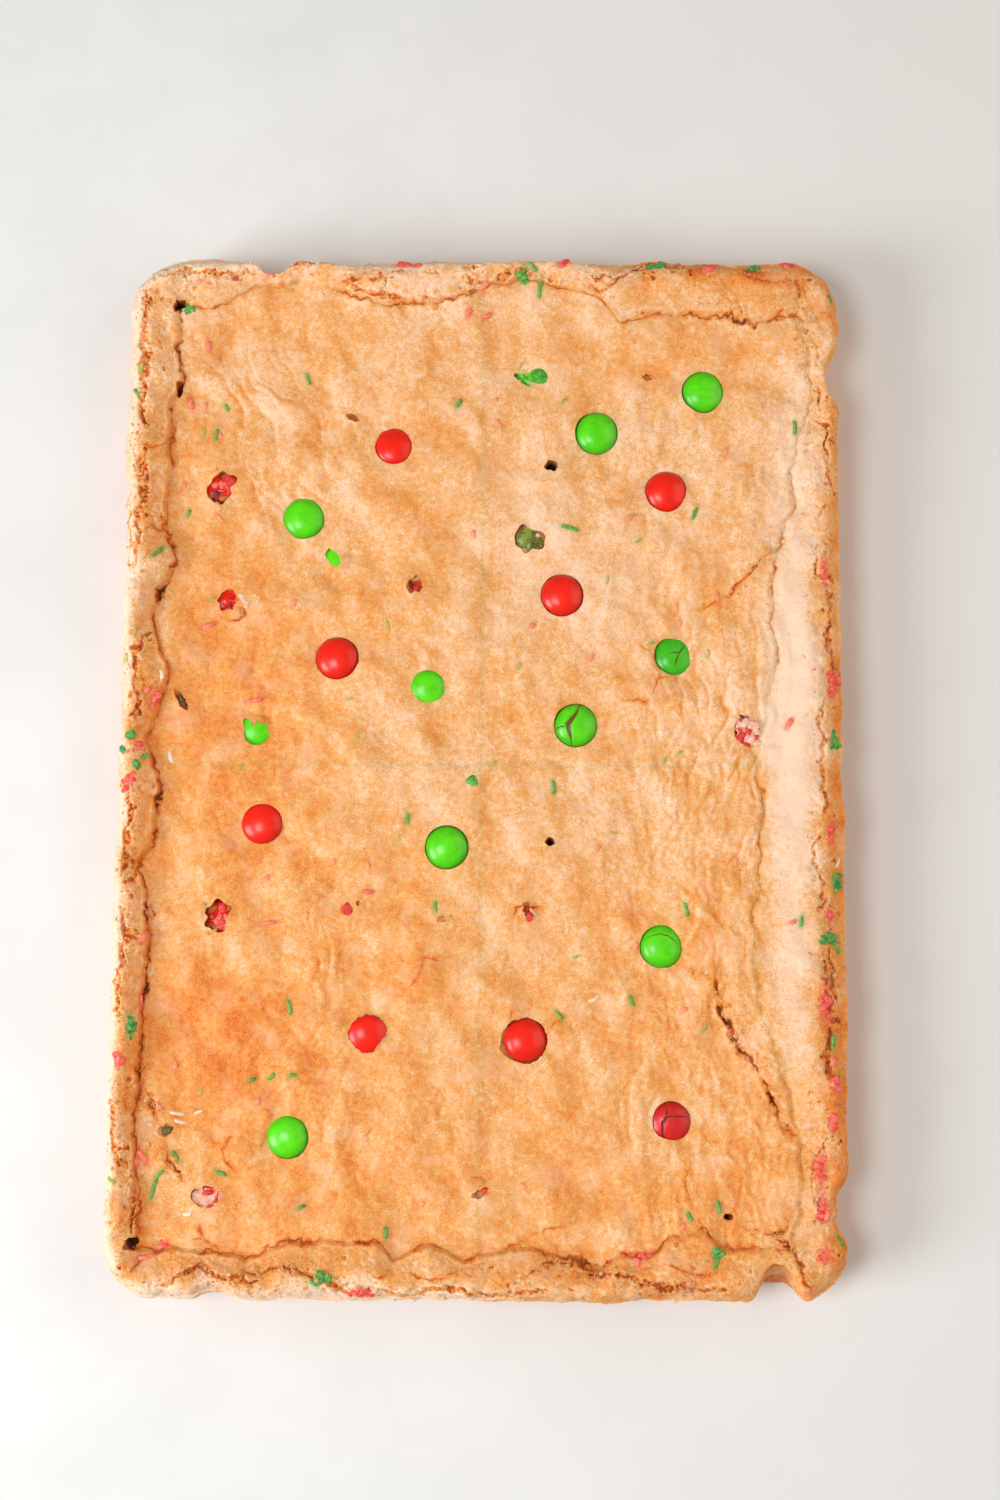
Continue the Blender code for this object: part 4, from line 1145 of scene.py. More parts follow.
class Finish:
    """A material being painted: short ways to add the nodes that this object's finishes use."""

    def __init__(self, name):
        self.material = bpy.data.materials.new(name)
        self.material.use_nodes = True
        self.tree = self.material.node_tree
        self.shader = self.tree.nodes["Principled BSDF"]
        self.place = self.tree.nodes.new("ShaderNodeTexCoord").outputs["Object"]

    def feed(self, socket, value):
        """Sets a socket to a number or colour, or links it to another socket."""
        if isinstance(value, bpy.types.NodeSocket):
            self.tree.links.new(value, socket)
        else:
            socket.default_value = value

    def sum(self, operation, *values):
        """One step of arithmetic."""
        step = self.tree.nodes.new("ShaderNodeMath")
        step.operation = operation
        for socket, value in zip(step.inputs, values):
            self.feed(socket, value)
        return step.outputs[0]

    def value(self, name):
        """A value that the mesh carries."""
        read = self.tree.nodes.new("ShaderNodeAttribute")
        read.attribute_name = name
        return read.outputs["Fac"]

    def noise(self, size, detail=3, rough=0.6):
        """Noise about 0.5, with features of a size in millimetres."""
        made = self.tree.nodes.new("ShaderNodeTexNoise")
        made.inputs["Scale"].default_value = 1 / (size * MM)
        made.inputs["Detail"].default_value = detail
        made.inputs["Roughness"].default_value = rough
        self.feed(made.inputs["Vector"], self.place)
        return made.outputs["Fac"]

    def span(self, value, low, high, new_low=0.0, new_high=1.0):
        """Maps low..high to new_low..new_high with an S-shaped blend, held beyond the ends."""
        made = self.tree.nodes.new("ShaderNodeMapRange")
        made.interpolation_type = "SMOOTHSTEP"
        ends = {"From Min": low, "From Max": high, "To Min": new_low, "To Max": new_high}
        for name, number in ends.items():
            self.feed(made.inputs[name], number)
        self.feed(made.inputs["Value"], value)
        return made.outputs["Result"]

    def ramp(self, value, stops):
        """A colour for each value, through stops of (value, colour)."""
        made = self.tree.nodes.new("ShaderNodeValToRGB")
        band = made.color_ramp
        while len(band.elements) < len(stops):
            band.elements.new(0.5)
        for element, (place, colour) in zip(band.elements, stops):
            element.position = place
            element.color = colour
        self.feed(made.inputs["Fac"], value)
        return made.outputs["Color"]

    def mix(self, share, first, second):
        """One colour laid over another by a share."""
        made = self.tree.nodes.new("ShaderNodeMix")
        made.data_type = "RGBA"
        self.feed(made.inputs["Factor"], share)
        self.feed(made.inputs[6], first)
        self.feed(made.inputs[7], second)
        return made.outputs[2]

    def bump(self, height, depth, under=None):
        """A bump whose full height is a depth in millimetres, over another bump if one is given."""
        made = self.tree.nodes.new("ShaderNodeBump")
        made.inputs["Distance"].default_value = depth * MM
        self.feed(made.inputs["Height"], height)
        if under:
            self.feed(made.inputs["Normal"], under)
        return made.outputs["Normal"]

    def done(self, **sockets):
        """Feeds the shader's own sockets, by name, and gives the material."""
        for name, value in sockets.items():
            self.feed(self.shader.inputs[name.replace("_", " ")], value)
        return self.material


CREST_CRUST = srgb(253, 220, 192)
PALE_CRUST = srgb(250, 203, 163)
BLUSH_CRUST = srgb(253, 208, 174)
MID_CRUST = srgb(240, 179, 108)
TAN_CRUST = srgb(240, 154, 72)
BROWN_CRUST = srgb(232, 118, 50)
DEEP_CRUST = srgb(176, 82, 28)
CRACK_ORANGE = srgb(196, 98, 34)
CRACK_SHADE_BROWN = srgb(122, 62, 18)
HOLE_SHADE = srgb(44, 34, 14)
GREEN_DYE = srgb(150, 175, 60)
RED_DYE = srgb(240, 105, 75)
GREEN_MELT = srgb(84, 156, 66)
RED_MELT = srgb(240, 92, 74)


def crust_finish():
    """Baked crust: the mesh's baking with clouds, grain and specks on it, painted paler where the skin faces
    the key and on raised broken edges and darker where it faces away, brown where it has crumbled, cracks
    drawn crisply from the distance that the mesh carries with painted shade in their gaps, painted shade in
    pits, and dye where strands have bled."""
    paint = Finish("baked_crust")
    fine = paint.noise(0.5, 3, 0.8)
    clouds = paint.noise(7, 4, 0.6)
    grain = paint.noise(1.7, 4, 0.65)
    rough = paint.value("rough")
    pitted = paint.value("pitted")
    tone = paint.sum("MULTIPLY_ADD", paint.sum("SUBTRACT", clouds, 0.5), 0.42, paint.value("bake"))
    tone = paint.sum("MULTIPLY_ADD", paint.sum("SUBTRACT", fine, 0.5), 1.15, tone)
    tone = paint.sum("MULTIPLY_ADD", paint.sum("SUBTRACT", grain, 0.5), 0.75, tone)
    # Painted light and shade, from the relief value
    tone = paint.sum("MULTIPLY_ADD", paint.value("relief"), -0.36, tone)
    specks = paint.span(paint.noise(1.1, 4, 0.7), 0.58, 0.7)
    tone = paint.sum("MULTIPLY_ADD", paint.sum("MULTIPLY", specks, rough), 0.14, tone)
    crumbs = paint.sum("MULTIPLY", paint.sum("SUBTRACT", paint.noise(2.4, 5, 0.75), 0.5), rough)
    tone = paint.sum("MULTIPLY_ADD", crumbs, 0.35, tone)
    torn = paint.span(paint.noise(0.9, 4, 0.75), 0.28, 0.55)
    torn = paint.sum("MULTIPLY", torn, paint.span(pitted, 0.1, 0.6))
    tone = paint.sum("MULTIPLY_ADD", torn, 0.3, tone)
    colour = paint.ramp(
        tone,
        (
            (0.08, CREST_CRUST),
            (0.26, PALE_CRUST),
            (0.44, MID_CRUST),
            (0.64, TAN_CRUST),
            (0.88, BROWN_CRUST),
            (1.0, DEEP_CRUST),
        ),
    )
    blush = paint.span(paint.noise(10, 4, 0.6), 0.5, 0.66)
    blush = paint.sum("MULTIPLY", blush, paint.span(paint.value("bake"), 0.85, 0.6))
    colour = paint.mix(paint.sum("MULTIPLY", blush, 0.3), colour, BLUSH_CRUST)
    stray = paint.sum("MULTIPLY_ADD", paint.noise(0.8, 4, 0.7), 1.2, -0.6)
    width = paint.value("crack_width")
    stray = paint.sum("MULTIPLY", stray, paint.sum("MINIMUM", paint.sum("MULTIPLY", width, 2.0), 1.0))
    gap = paint.sum("ABSOLUTE", paint.sum("ADD", paint.value("crack_gap"), stray))
    # A band browner beside each crack: partly the crust's own browning, partly painted shade
    crack_band_shade = paint.span(gap, paint.sum("MULTIPLY_ADD", width, 1.3, 0.25), paint.sum("MULTIPLY", width, 0.3))
    crack_band_shade = paint.sum("MULTIPLY", crack_band_shade, paint.span(width, 0.02, 0.3))
    colour = paint.mix(paint.sum("MULTIPLY", crack_band_shade, 0.6), colour, BROWN_CRUST)
    # The crack's gap: orange where thin and dark brown where wide, partly the crack's own brown and partly
    # painted shade in the gap
    split = paint.span(gap, paint.sum("MULTIPLY", width, 0.5), paint.sum("MULTIPLY", width, 0.22))
    split = paint.sum("MULTIPLY", split, paint.span(width, 0.1, 0.7, 0.45, 0.95))
    colour = paint.mix(split, colour, paint.mix(paint.span(width, 0.5, 1.5), CRACK_ORANGE, CRACK_SHADE_BROWN))
    for name, size, strength, dye in (("green_dye", 1.8, 0.4, GREEN_DYE), ("red_dye", 2.1, 0.5, RED_DYE)):
        bled = paint.sum("MULTIPLY_ADD", paint.noise(size, 3), 0.5, paint.value(name))
        colour = paint.mix(paint.sum("MULTIPLY", paint.span(bled, 0.5, 1.2), strength), colour, dye)
    grains = paint.noise(1.0, 4, 0.75)
    for name, dye in (("green_melt", GREEN_MELT), ("red_melt", RED_MELT)):
        melt = paint.span(paint.sum("MULTIPLY_ADD", grains, 1.1, paint.value(name)), 0.85, 1.15)
        colour = paint.mix(paint.sum("MULTIPLY", melt, 0.8), colour, dye)
    # Painted shade in pits and pockets: browner with a hollow's depth, and near black in the deepest
    hollow = paint.span(paint.value("hollow"), 0.3, 1.8)
    colour = paint.mix(paint.sum("MULTIPLY", hollow, 0.75), colour, DEEP_CRUST)
    colour = paint.mix(paint.span(paint.value("hollow"), 2.6, 4.4), colour, HOLE_SHADE)
    normal = paint.bump(fine, 0.12)
    normal = paint.bump(grain, 0.3, normal)
    normal = paint.bump(paint.sum("MULTIPLY", paint.noise(1.3, 5, 0.7), rough), 0.28, normal)
    normal = paint.bump(paint.sum("MULTIPLY", split, -1.0), 0.35, normal)
    return paint.done(
        Base_Color=colour,
        Normal=normal,
        Roughness=0.75,
        Specular_IOR_Level=0.3,
        Subsurface_Weight=0.3,
        Subsurface_Radius=(1.0, 0.45, 0.2),
        Subsurface_Scale=0.003,
    )


GREEN_SHELL = srgb(94, 232, 0)
GREEN_DEEP = srgb(40, 160, 0)
RED_SHELL = srgb(252, 30, 0)
RED_DEEP = srgb(184, 12, 0)
CHOCOLATE = srgb(70, 30, 14)


def shell_finish(name, light, deep, broken=False):
    """A lentil's sugar shell: glossy, a little mottled, painted darker towards its rim as shade, and crazed
    or broken down to the chocolate.
    """
    paint = Finish(name)
    mottle = paint.span(paint.noise(3.2, 3), 0.35, 0.75)
    colour = paint.mix(paint.sum("MULTIPLY", mottle, 0.35), light, deep)
    # Painted shade: darker towards the shell's rim
    colour = paint.mix(paint.sum("MULTIPLY", paint.value("shell_rim_shade"), 0.8), colour, deep)
    crack = paint.value("shell_crack")
    if broken:
        torn = paint.span(paint.noise(2.6, 4, 0.7), 0.42, 0.62)
        colour = paint.mix(torn, colour, deep)
        dusty = paint.span(paint.noise(1.4, 2), 0.6, 0.7)
        colour = paint.mix(paint.sum("MULTIPLY", dusty, 0.4), colour, PALE_CRUST)
    inside = paint.mix(paint.noise(0.8, 3), CHOCOLATE, srgb(150, 84, 44))
    colour = paint.mix(crack, colour, inside)
    normal = paint.bump(paint.noise(1.2, 3, 0.6), 0.25 if broken else 0.03)
    normal = paint.bump(paint.sum("MULTIPLY", crack, -1.0), 0.4, normal)
    return paint.done(
        Base_Color=colour,
        Normal=normal,
        Roughness=0.5,
        Specular_IOR_Level=0.1,
        Coat_Weight=0.8,
        Coat_Roughness=0.26,
    )


def bit_finish(name, light, deep):
    """A broken piece of lentil, or a blister of pale sugar: two shades in ragged patches, over a rough
    face."""
    paint = Finish(name)
    patch = paint.span(paint.noise(1.3, 4, 0.7), 0.36, 0.64)
    colour = paint.mix(patch, light, deep)
    normal = paint.bump(paint.noise(0.8, 4, 0.7), 0.3)
    return paint.done(Base_Color=colour, Normal=normal, Roughness=0.45)


def sugar_finish(name, light, deep):
    """A sugar strand: one dye, patchy, satin."""
    paint = Finish(name)
    patch = paint.span(paint.noise(1.1, 3), 0.35, 0.7)
    colour = paint.mix(patch, light, deep)
    colour = paint.mix(paint.value("veil"), colour, MID_CRUST)
    normal = paint.bump(paint.noise(0.5, 3), 0.12)
    return paint.done(Base_Color=colour, Normal=normal, Roughness=0.5)


# ---------------------------------------------------------------- lentils

# Cracks in bare lentils' shells: (width, (points across the shell, from -1 to 1 of its radius)), by node
SHELL_CRACKS = {
    "candy_07": (
        (0.34, ((-0.34, 0.02), (-0.05, 0.1), (0.16, 0.08), (0.3, 0.3), (0.48, 0.55))),
        (0.3, ((0.16, 0.05), (0.02, -0.25), (-0.06, -0.62))),
    ),
    "candy_08": (
        (1.5, ((0.2, 1.0), (-0.02, 0.5), (-0.4, 0.0), (-0.3, -0.4), (-0.16, -1.0))),
        (0.25, ((-0.98, -0.16), (-0.7, -0.1), (-0.45, -0.12))),
    ),
    "candy_16": (
        (0.34, ((-0.84, 0.3), (-0.5, 0.46), (-0.1, 0.55), (0.3, 0.46), (0.6, 0.22), (0.82, -0.12))),
    ),
    "candy_17": (
        (0.6, ((-0.2, 0.95), (-0.14, 0.6), (-0.16, 0.3), (-0.34, 0.02), (-0.35, -0.5), (-0.24, -0.98))),
        (0.45, ((-0.16, 0.3), (0.05, 0.36), (0.3, 0.34), (0.85, 0.3))),
    ),
}
# Lentils whose shell is darker than the others'
DARK_SHELLS = {
    "candy_07": (srgb(66, 196, 22), srgb(24, 122, 12)),
    "candy_17": (srgb(222, 36, 34), srgb(146, 12, 14)),
    "pit_candy_05": (srgb(142, 158, 62), srgb(74, 96, 30)),
}


def ragged_shell(points):
    """How deep a broken shell is torn, from 0 to about 1."""
    return np.maximum(ragged(points, 2.4, 3, 9), 0)


def ball_grid(around, up):
    """A ball of radius 1 by longitude and latitude: its points, with the two poles last, and its faces."""
    longitude = np.linspace(0, 2 * math.pi, around, endpoint=False)
    latitude = np.linspace(-math.pi / 2, math.pi / 2, up + 1)[1:-1]
    lon, lat = (grid.ravel() for grid in np.meshgrid(longitude, latitude))
    ball = np.stack([np.cos(lat) * np.cos(lon), np.cos(lat) * np.sin(lon), np.sin(lat)], axis=1)
    ball = np.concatenate([ball, [[0, 0, -1.0], [0, 0, 1.0]]])
    ring = np.arange(around)
    rows = np.arange(up - 2)[:, None] * around
    a = rows + ring
    b = rows + (ring + 1) % around
    faces = np.stack([a, b, b + around, a + around], axis=-1).reshape(-1, 4).tolist()
    south, north, last = len(ball) - 2, len(ball) - 1, (up - 2) * around
    faces += [[south, (n + 1) % around, n] for n in range(around)]
    faces += [[north, last + n, last + (n + 1) % around] for n in range(around)]
    return ball, faces


# How many spaces the balls have round them and from pole to pole: bits, whole lentils and cracked lentils
BIT_GRID = (20, 12)
LENTIL_GRID = (64, 34)
CRACKED_GRID = (144, 72)


def make_bits(name, bits, high, finish, surface, seed, values=None):
    """Broken pieces as one piece: balls by latitude and longitude, drawn out to their half lengths and
    widths, dented by layers of noise, turned to their heading, and set so that the top stands so high above
    the crust."""
    ball, faces = ball_grid(*BIT_GRID)
    x, y, long, wide, heading, lift = np.array(bits, float).T
    spots, _ = laid_on(surface, zip(x, y))
    tall = high * np.sqrt(wide)
    shapes = ball * np.stack([long, wide, tall], axis=1)[:, None]
    where = shapes + np.stack([x, y, lift], axis=1)[:, None]
    dents = 1 + 0.3 * ragged(where.reshape(-1, 3), 2.2, 3, seed).reshape(where.shape[:2])
    shapes = shapes * dents[..., None]
    cos, sin = np.cos(np.radians(heading))[:, None], np.sin(np.radians(heading))[:, None]
    turned_x = shapes[..., 0] * cos - shapes[..., 1] * sin
    turned_y = shapes[..., 0] * sin + shapes[..., 1] * cos
    shapes = np.stack([turned_x, turned_y, shapes[..., 2]], axis=-1)
    spots[:, 2] += lift - 0.55 * tall
    points = (shapes + spots[:, None]).reshape(-1, 3)
    faces = repeated(faces, len(ball), len(bits))
    piece = mesh_object(name, points, faces, finish, values and values(points))
    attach(piece, "root")
    return piece


def make_lentil(candy, finish, cracks=(), torn=0.0):
    """A lentil: a flattened ball by latitude and longitude about its own axis, with a faint waviness, and
    grooves along its shell's cracks."""
    local, faces = ball_grid(*(CRACKED_GRID if cracks else LENTIL_GRID))
    face_x, face_y = CANDY_RADIUS * local[:, 0], CANDY_RADIUS * local[:, 1]
    crack = np.zeros(len(local))
    # The share of the radius to the fifth power, which the finish paints darker towards the rim as shade
    edge = np.hypot(local[:, 0], local[:, 1]) ** 5
    for width, route in cracks:
        gap, share = distance_to(np.array(route) * CANDY_RADIUS, face_x, face_y)
        gap = gap + 0.15 * swell(local[:, 0] * 9, local[:, 1] * 9, 1.0, 7)
        wide = width * (0.25 + 0.75 * np.sin(math.pi * np.clip(share, 0, 1)))
        crack = np.maximum(crack, smoothstep((wide * 0.7 - np.abs(gap)) / (width * 0.4)) * (local[:, 2] > 0))
    shape = local * (CANDY_RADIUS, CANDY_RADIUS, CANDY_HALF_THICKNESS)
    shape = shape * (1 - 0.012 * np.abs(grit(local * 3 + candy.centre, 1.0, 5)))[:, None]
    shape = shape * (1 - 0.1 * crack)[:, None]
    if torn:
        broken = ragged_shell(shape + candy.centre) * (local[:, 2] > 0.2)
        shape = shape * (1 - torn * broken)[:, None]
    turn = Vector((0, 0, 1)).rotation_difference(Vector(candy.axis)).to_matrix()
    points = shape @ np.array(turn).T + candy.centre
    carried = {"shell_crack": crack, "shell_rim_shade": edge}
    piece = mesh_object("shell_" + candy.node, points, faces, finish, carried)
    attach(piece, "root")
    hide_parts(candy.node)
    return piece


# ---------------------------------------------------------------- strands and crumbs


def face_tree(pieces):
    """A tree of the pieces' faces, to find where things come to lie on them."""
    points, faces = [], []
    for piece in pieces:
        mesh = piece.data
        start = sum(len(found) for found in points)
        places = np.empty(len(mesh.vertices) * 3, np.float32)
        mesh.vertices.foreach_get("co", places)
        points.append(places.reshape(-1, 3))
        corners = np.empty(len(mesh.loops), np.int32)
        mesh.loops.foreach_get("vertex_index", corners)
        sizes = np.empty(len(mesh.polygons), np.int32)
        mesh.polygons.foreach_get("loop_total", sizes)
        faces += [face.tolist() for face in np.split(corners + start, np.cumsum(sizes)[:-1])]
    return BVHTree.FromPolygons(np.concatenate(points).tolist(), faces)


# A height well above the slab, and the height of its wall's top
HIGH_ABOVE = 80
WALL_TOP = 20


def laid_on(surface, places):
    """Where things that fall on the slab at places come to lie, and which way the crust faces there.
    Beyond the edge it is the nearest place on the wall's top."""
    spots, normals = [], []
    for x, y in places:
        hit, normal, _, _ = surface.ray_cast(Vector((x, y, HIGH_ABOVE)) * MM, Vector((0, 0, -1)))
        if hit is None:
            hit, normal, _, _ = surface.find_nearest(Vector((x, y, WALL_TOP)) * MM)
        spots.append(hit)
        normals.append(normal)
    return np.array(spots) / MM, np.array(normals)


def repeated(faces, size, count):
    """One thing's faces, each repeated for count things of so many points."""
    return [tuple(corner + size * n for corner in face) for n in range(count) for face in faces]


# A strand's section has so many sides, and its profile is (place along half its length, share of its radius)
STRAND_SIDES = 8
STRAND_PROFILE = (
    (-1.0, 0.05), (-0.93, 0.62), (-0.72, 0.96), (0.0, 1.0), (0.72, 0.96), (0.93, 0.62), (1.0, 0.05),
)


def make_strands(name, strands, finish, surface, veil, sunk, seed, stout=1.15):
    """Sugar strands as one piece: each a profile of radii carried along a short bent line in the crust's
    plane, with eight sides, and sunk into the crust. Stout ones are as much thicker, and a little
    shorter."""
    rng = np.random.default_rng(seed)
    x, y, heading, length = np.array(strands, float).T
    length = length / np.sqrt(stout)
    count, rings, sides = len(x), len(STRAND_PROFILE), STRAND_SIDES
    spots, normals = laid_on(surface, zip(x, y))
    ahead = np.stack([np.cos(np.radians(heading)), np.sin(np.radians(heading)), 0 * x], axis=1)
    ahead -= normals * (ahead * normals).sum(axis=1, keepdims=True)
    ahead /= np.linalg.norm(ahead, axis=1, keepdims=True)
    side = np.cross(normals, ahead)
    radius = stout * rng.uniform(0.5, 0.66, count)
    bend = rng.uniform(-0.5, 0.5, count)
    reach, share = np.array(STRAND_PROFILE).T
    middle = spots + normals * (radius * (1 - 2 * sunk))[:, None]
    forth = ahead[:, None] * (reach * length[:, None] / 2)[..., None]
    aside = side[:, None] * (bend[:, None] * (reach**2 - 0.3))[..., None]
    line = middle[:, None] + forth + aside
    angle = 2 * math.pi * np.arange(sides) / sides
    out = side[:, None] * np.cos(angle)[:, None] + normals[:, None] * np.sin(angle)[:, None]
    thick = radius[:, None, None] * share[:, None] * rng.uniform(0.9, 1.1, (count, rings, sides))
    points = line[:, :, None] + out[:, None] * thick[..., None]
    step = np.arange(sides)
    start = np.arange(rings - 1)[:, None] * sides
    a, b = start + step, start + (step + 1) % sides
    rod = np.stack([b, a, a + sides, b + sides], axis=-1).reshape(-1, 4).tolist()
    rod += [step.tolist(), ((rings - 1) * sides + step[::-1]).tolist()]
    faces = repeated(rod, rings * sides, count)
    veils = np.repeat(np.clip(veil * rng.uniform(0.7, 1.2, count), 0, 1), rings * sides)
    piece = mesh_object(name, points.reshape(-1, 3), faces, finish, {"veil": veils})
    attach(piece, "root")
    return piece


def twenty_sided():
    """A ball of twenty sides: the corners of three crossed golden rectangles, and the faces between near
    ones."""
    golden = (1 + 5**0.5) / 2
    corners = [(0, a, b * golden) for a in (-1, 1) for b in (-1, 1)]
    ball = np.array([np.roll(corner, turn) for turn in range(3) for corner in corners])
    ball = ball / np.linalg.norm(ball[0])
    apart = np.linalg.norm(ball[:, None] - ball[None], axis=2)
    near = (apart > 0.1) & (apart < 1.2)
    faces = []
    for a, b, c in np.argwhere(near[:, :, None] & near[None, :, :] & near[:, None, :]):
        if a < b < c:
            out = np.cross(ball[b] - ball[a], ball[c] - ball[a]) @ (ball[a] + ball[b] + ball[c])
            faces.append((a, b, c) if out > 0 else (a, c, b))
    return ball, faces


def scattered(name, shapes, faces, spots, finish, values=None):
    """Many small things as one piece: each its own shape, moved to its spot."""
    count, size, _ = shapes.shape
    points = (shapes + spots[:, None]).reshape(-1, 3)
    faces = repeated(faces, size, count)
    piece = mesh_object(name, points, faces, finish, values and values(points), smooth=False)
    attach(piece, "root")
    return piece


def make_grains(name, places, sizes, sunk, finish, surface, seed, values=None):
    """Grains as one piece: twenty-sided balls, squashed, roughened and turned at random, and sunk into the
    crust by a share of their size."""
    rng = np.random.default_rng(seed)
    spots, normals = laid_on(surface, places)
    ball, faces = twenty_sided()
    count = len(sizes)
    shapes = ball * rng.uniform(0.65, 1.15, (count, 1, 3)) * rng.uniform(0.8, 1.2, (count, 12, 1))
    turns, _ = np.linalg.qr(rng.normal(size=(count, 3, 3)))
    turns *= np.linalg.det(turns)[:, None, None]
    shapes = shapes @ turns * sizes[:, None, None]
    spots = spots + normals * (sizes * (1 - sunk))[:, None]
    return scattered(name, shapes, faces, spots, finish, values)


def make_flakes(name, places, sizes, finish, surface, seed):
    """Flakes of crust as one piece: seven-sided plates, thick in the middle and thin at the edge, that lean
    out of the crust they are stuck to."""
    rng = np.random.default_rng(seed)
    spots, normals = laid_on(surface, places)
    count, corners = len(sizes), 7
    angle = 2 * math.pi * (np.arange(corners) + rng.uniform(-0.3, 0.3, (count, corners))) / corners
    reach = rng.uniform(0.6, 1.25, (count, corners))
    wide = rng.uniform(0.55, 1.0, (count, 1))
    buckle = rng.normal(0, 0.08, reach.shape)
    plate = np.stack([reach * np.cos(angle), wide * reach * np.sin(angle), buckle], axis=-1)
    poles = np.array([[0, 0, 0.22], [0, 0, -0.22]]) * np.ones((count, 1, 1))
    shapes = np.concatenate([plate, poles], axis=1) * sizes[:, None, None]
    up = normals + rng.normal(0, 0.28, normals.shape)
    up /= np.linalg.norm(up, axis=1, keepdims=True)
    first = np.cross(up, rng.normal(size=normals.shape))
    first /= np.linalg.norm(first, axis=1, keepdims=True)
    shapes = shapes @ np.stack([first, np.cross(up, first), up], axis=1)
    ring = np.arange(corners)
    following = (ring + 1) % corners
    faces = np.stack([ring, following, 0 * ring + corners], axis=-1).tolist()
    faces += np.stack([following, ring, 0 * ring + corners + 1], axis=-1).tolist()
    spots = spots + normals * 0.06 * sizes[:, None]
    tones = np.repeat(rng.normal(0.1, 0.12, count), corners + 2)
    return scattered(name, shapes, faces, spots, finish, lambda points: crumb_values(points, tones))


def crumbly_places(count, spread, seed):
    """Places along the rifts and the wider cracks, strayed to the side, and some all over the rim."""
    rng = np.random.default_rng(seed)
    routes = [route for _, route in RIFTS] + [route for width, _, route in CRACKS if width >= 0.5]
    legs = [(start, end) for route in routes for start, end in zip(route[:-1], route[1:])]
    start, end = np.array(legs, float).transpose(1, 0, 2)
    chance = np.linalg.norm(end - start, axis=1)
    leg = rng.choice(len(legs), count, p=chance / chance.sum())
    beside_rift = start[leg] + rng.random((count, 1)) * (end - start)[leg]
    beside_rift += rng.normal(0, spread, (count, 2))
    run = rng.uniform(-1, 1, count)
    way = rng.choice((-1, 1), count)
    inset = rng.uniform(1.5, 13, count)
    at_side = np.stack([way * (HALF_WIDTH - inset), run * (HALF_LENGTH - inset)], axis=1)
    at_end = np.stack([run * (HALF_WIDTH - inset), way * (HALF_LENGTH - inset)], axis=1)
    on_rim = np.where(rng.random((count, 1)) < 0.6, at_side, at_end)
    return np.where(rng.random((count, 1)) < 0.7, beside_rift, on_rim)


def chips(clusters, seed):
    """Rows of bits for clusters of broken lentil: each cluster's own number of them, spread about its
    middle."""
    rng = np.random.default_rng(seed)
    spread = np.array([cluster[:4] for cluster in clusters for _ in range(cluster[4])], float)
    count = len(spread)
    places = spread[:, :2] + rng.normal(0, 0.5, (count, 2)) * spread[:, 2:]
    long = rng.uniform(0.9, 1.9, count)
    wide = long * rng.uniform(0.55, 0.95, count)
    return np.column_stack([places, long, wide, rng.uniform(0, 180, count), rng.uniform(-0.25, 0.2, count)])


def crumb_values(points, tones=0):
    """What the crust's finish reads, for crumbs and flakes."""
    zeros = np.zeros(len(points))
    return {"bake": baking(points, zeros + 1.5) + tones, "crack_gap": zeros + 99, "rough": zeros + 1}


# ---------------------------------------------------------------- floor, lights and camera


FLOOR_HALF = 1500.0
FLOOR_DROP = 0.2
# The lights: name, place in metres, colour, size, power
LIGHTS = (
    ("key", (-1.15, -0.45, 0.72), (1.0, 1.0, 1.0), 0.6, 13.6),
    ("fill", (1.1, 0.2, 0.7), (1.0, 0.8, 0.6), 1.4, 8.2),
    ("window", (-0.36, -0.14, 0.92), (1.0, 1.0, 1.0), 0.3, 3.3),
)
SKY_STRENGTH = 0.27


def make_stage():
    """A pale floor with painted shade towards the right, a soft key from the left, a fill from the right,
    and a bright even sky.
    """
    paint = Finish("pale_floor")
    grain = paint.span(paint.noise(60, 3), 0.3, 0.7)
    colour = paint.mix(grain, srgb(229, 232, 233), srgb(236, 239, 240))
    # Painted shade: the floor a little darker towards the right, away from the key
    colour = paint.mix(paint.span(paint.value("painted_shade_rightward"), 0.45, 0.58), colour, srgb(230, 233, 234))
    finish = paint.done(Base_Color=colour, Roughness=0.6)
    square = np.array([(-1, -1), (1, -1), (1, 1), (-1, 1)]) * FLOOR_HALF
    corners = np.column_stack([square, [-FLOOR_DROP] * 4])
    floor = mesh_object("floor", corners, [(0, 1, 2, 3)], finish, {"painted_shade_rightward": (0, 1, 1, 0)}, smooth=False)
    for name, place, colour, size, power in LIGHTS:
        light = bpy.data.lights.new(name, "AREA")
        light.size = size
        light.energy = power
        light.color = colour
        lamp = bpy.data.objects.new(name, light)
        lamp.location = place
        lamp.rotation_euler = (-Vector(place)).to_track_quat("-Z", "Y").to_euler()
        bpy.context.scene.collection.objects.link(lamp)
    world = bpy.data.worlds.new("sky")
    world.use_nodes = True
    sky = world.node_tree.nodes["Background"]
    sky.inputs["Color"].default_value = srgb(254, 250, 246)
    sky.inputs["Strength"].default_value = SKY_STRENGTH
    bpy.context.scene.world = world
    bpy.context.scene.view_settings.view_transform = "Standard"


# Where the camera stands, how it is turned, in degrees, and its lens and sensor
CAMERA_PLACE = (5.8, -80.8, 676.4)
CAMERA_LEAN = (7.44, -0.07, 0.39)
LENS = 50.3
SENSOR_WIDTH = 36


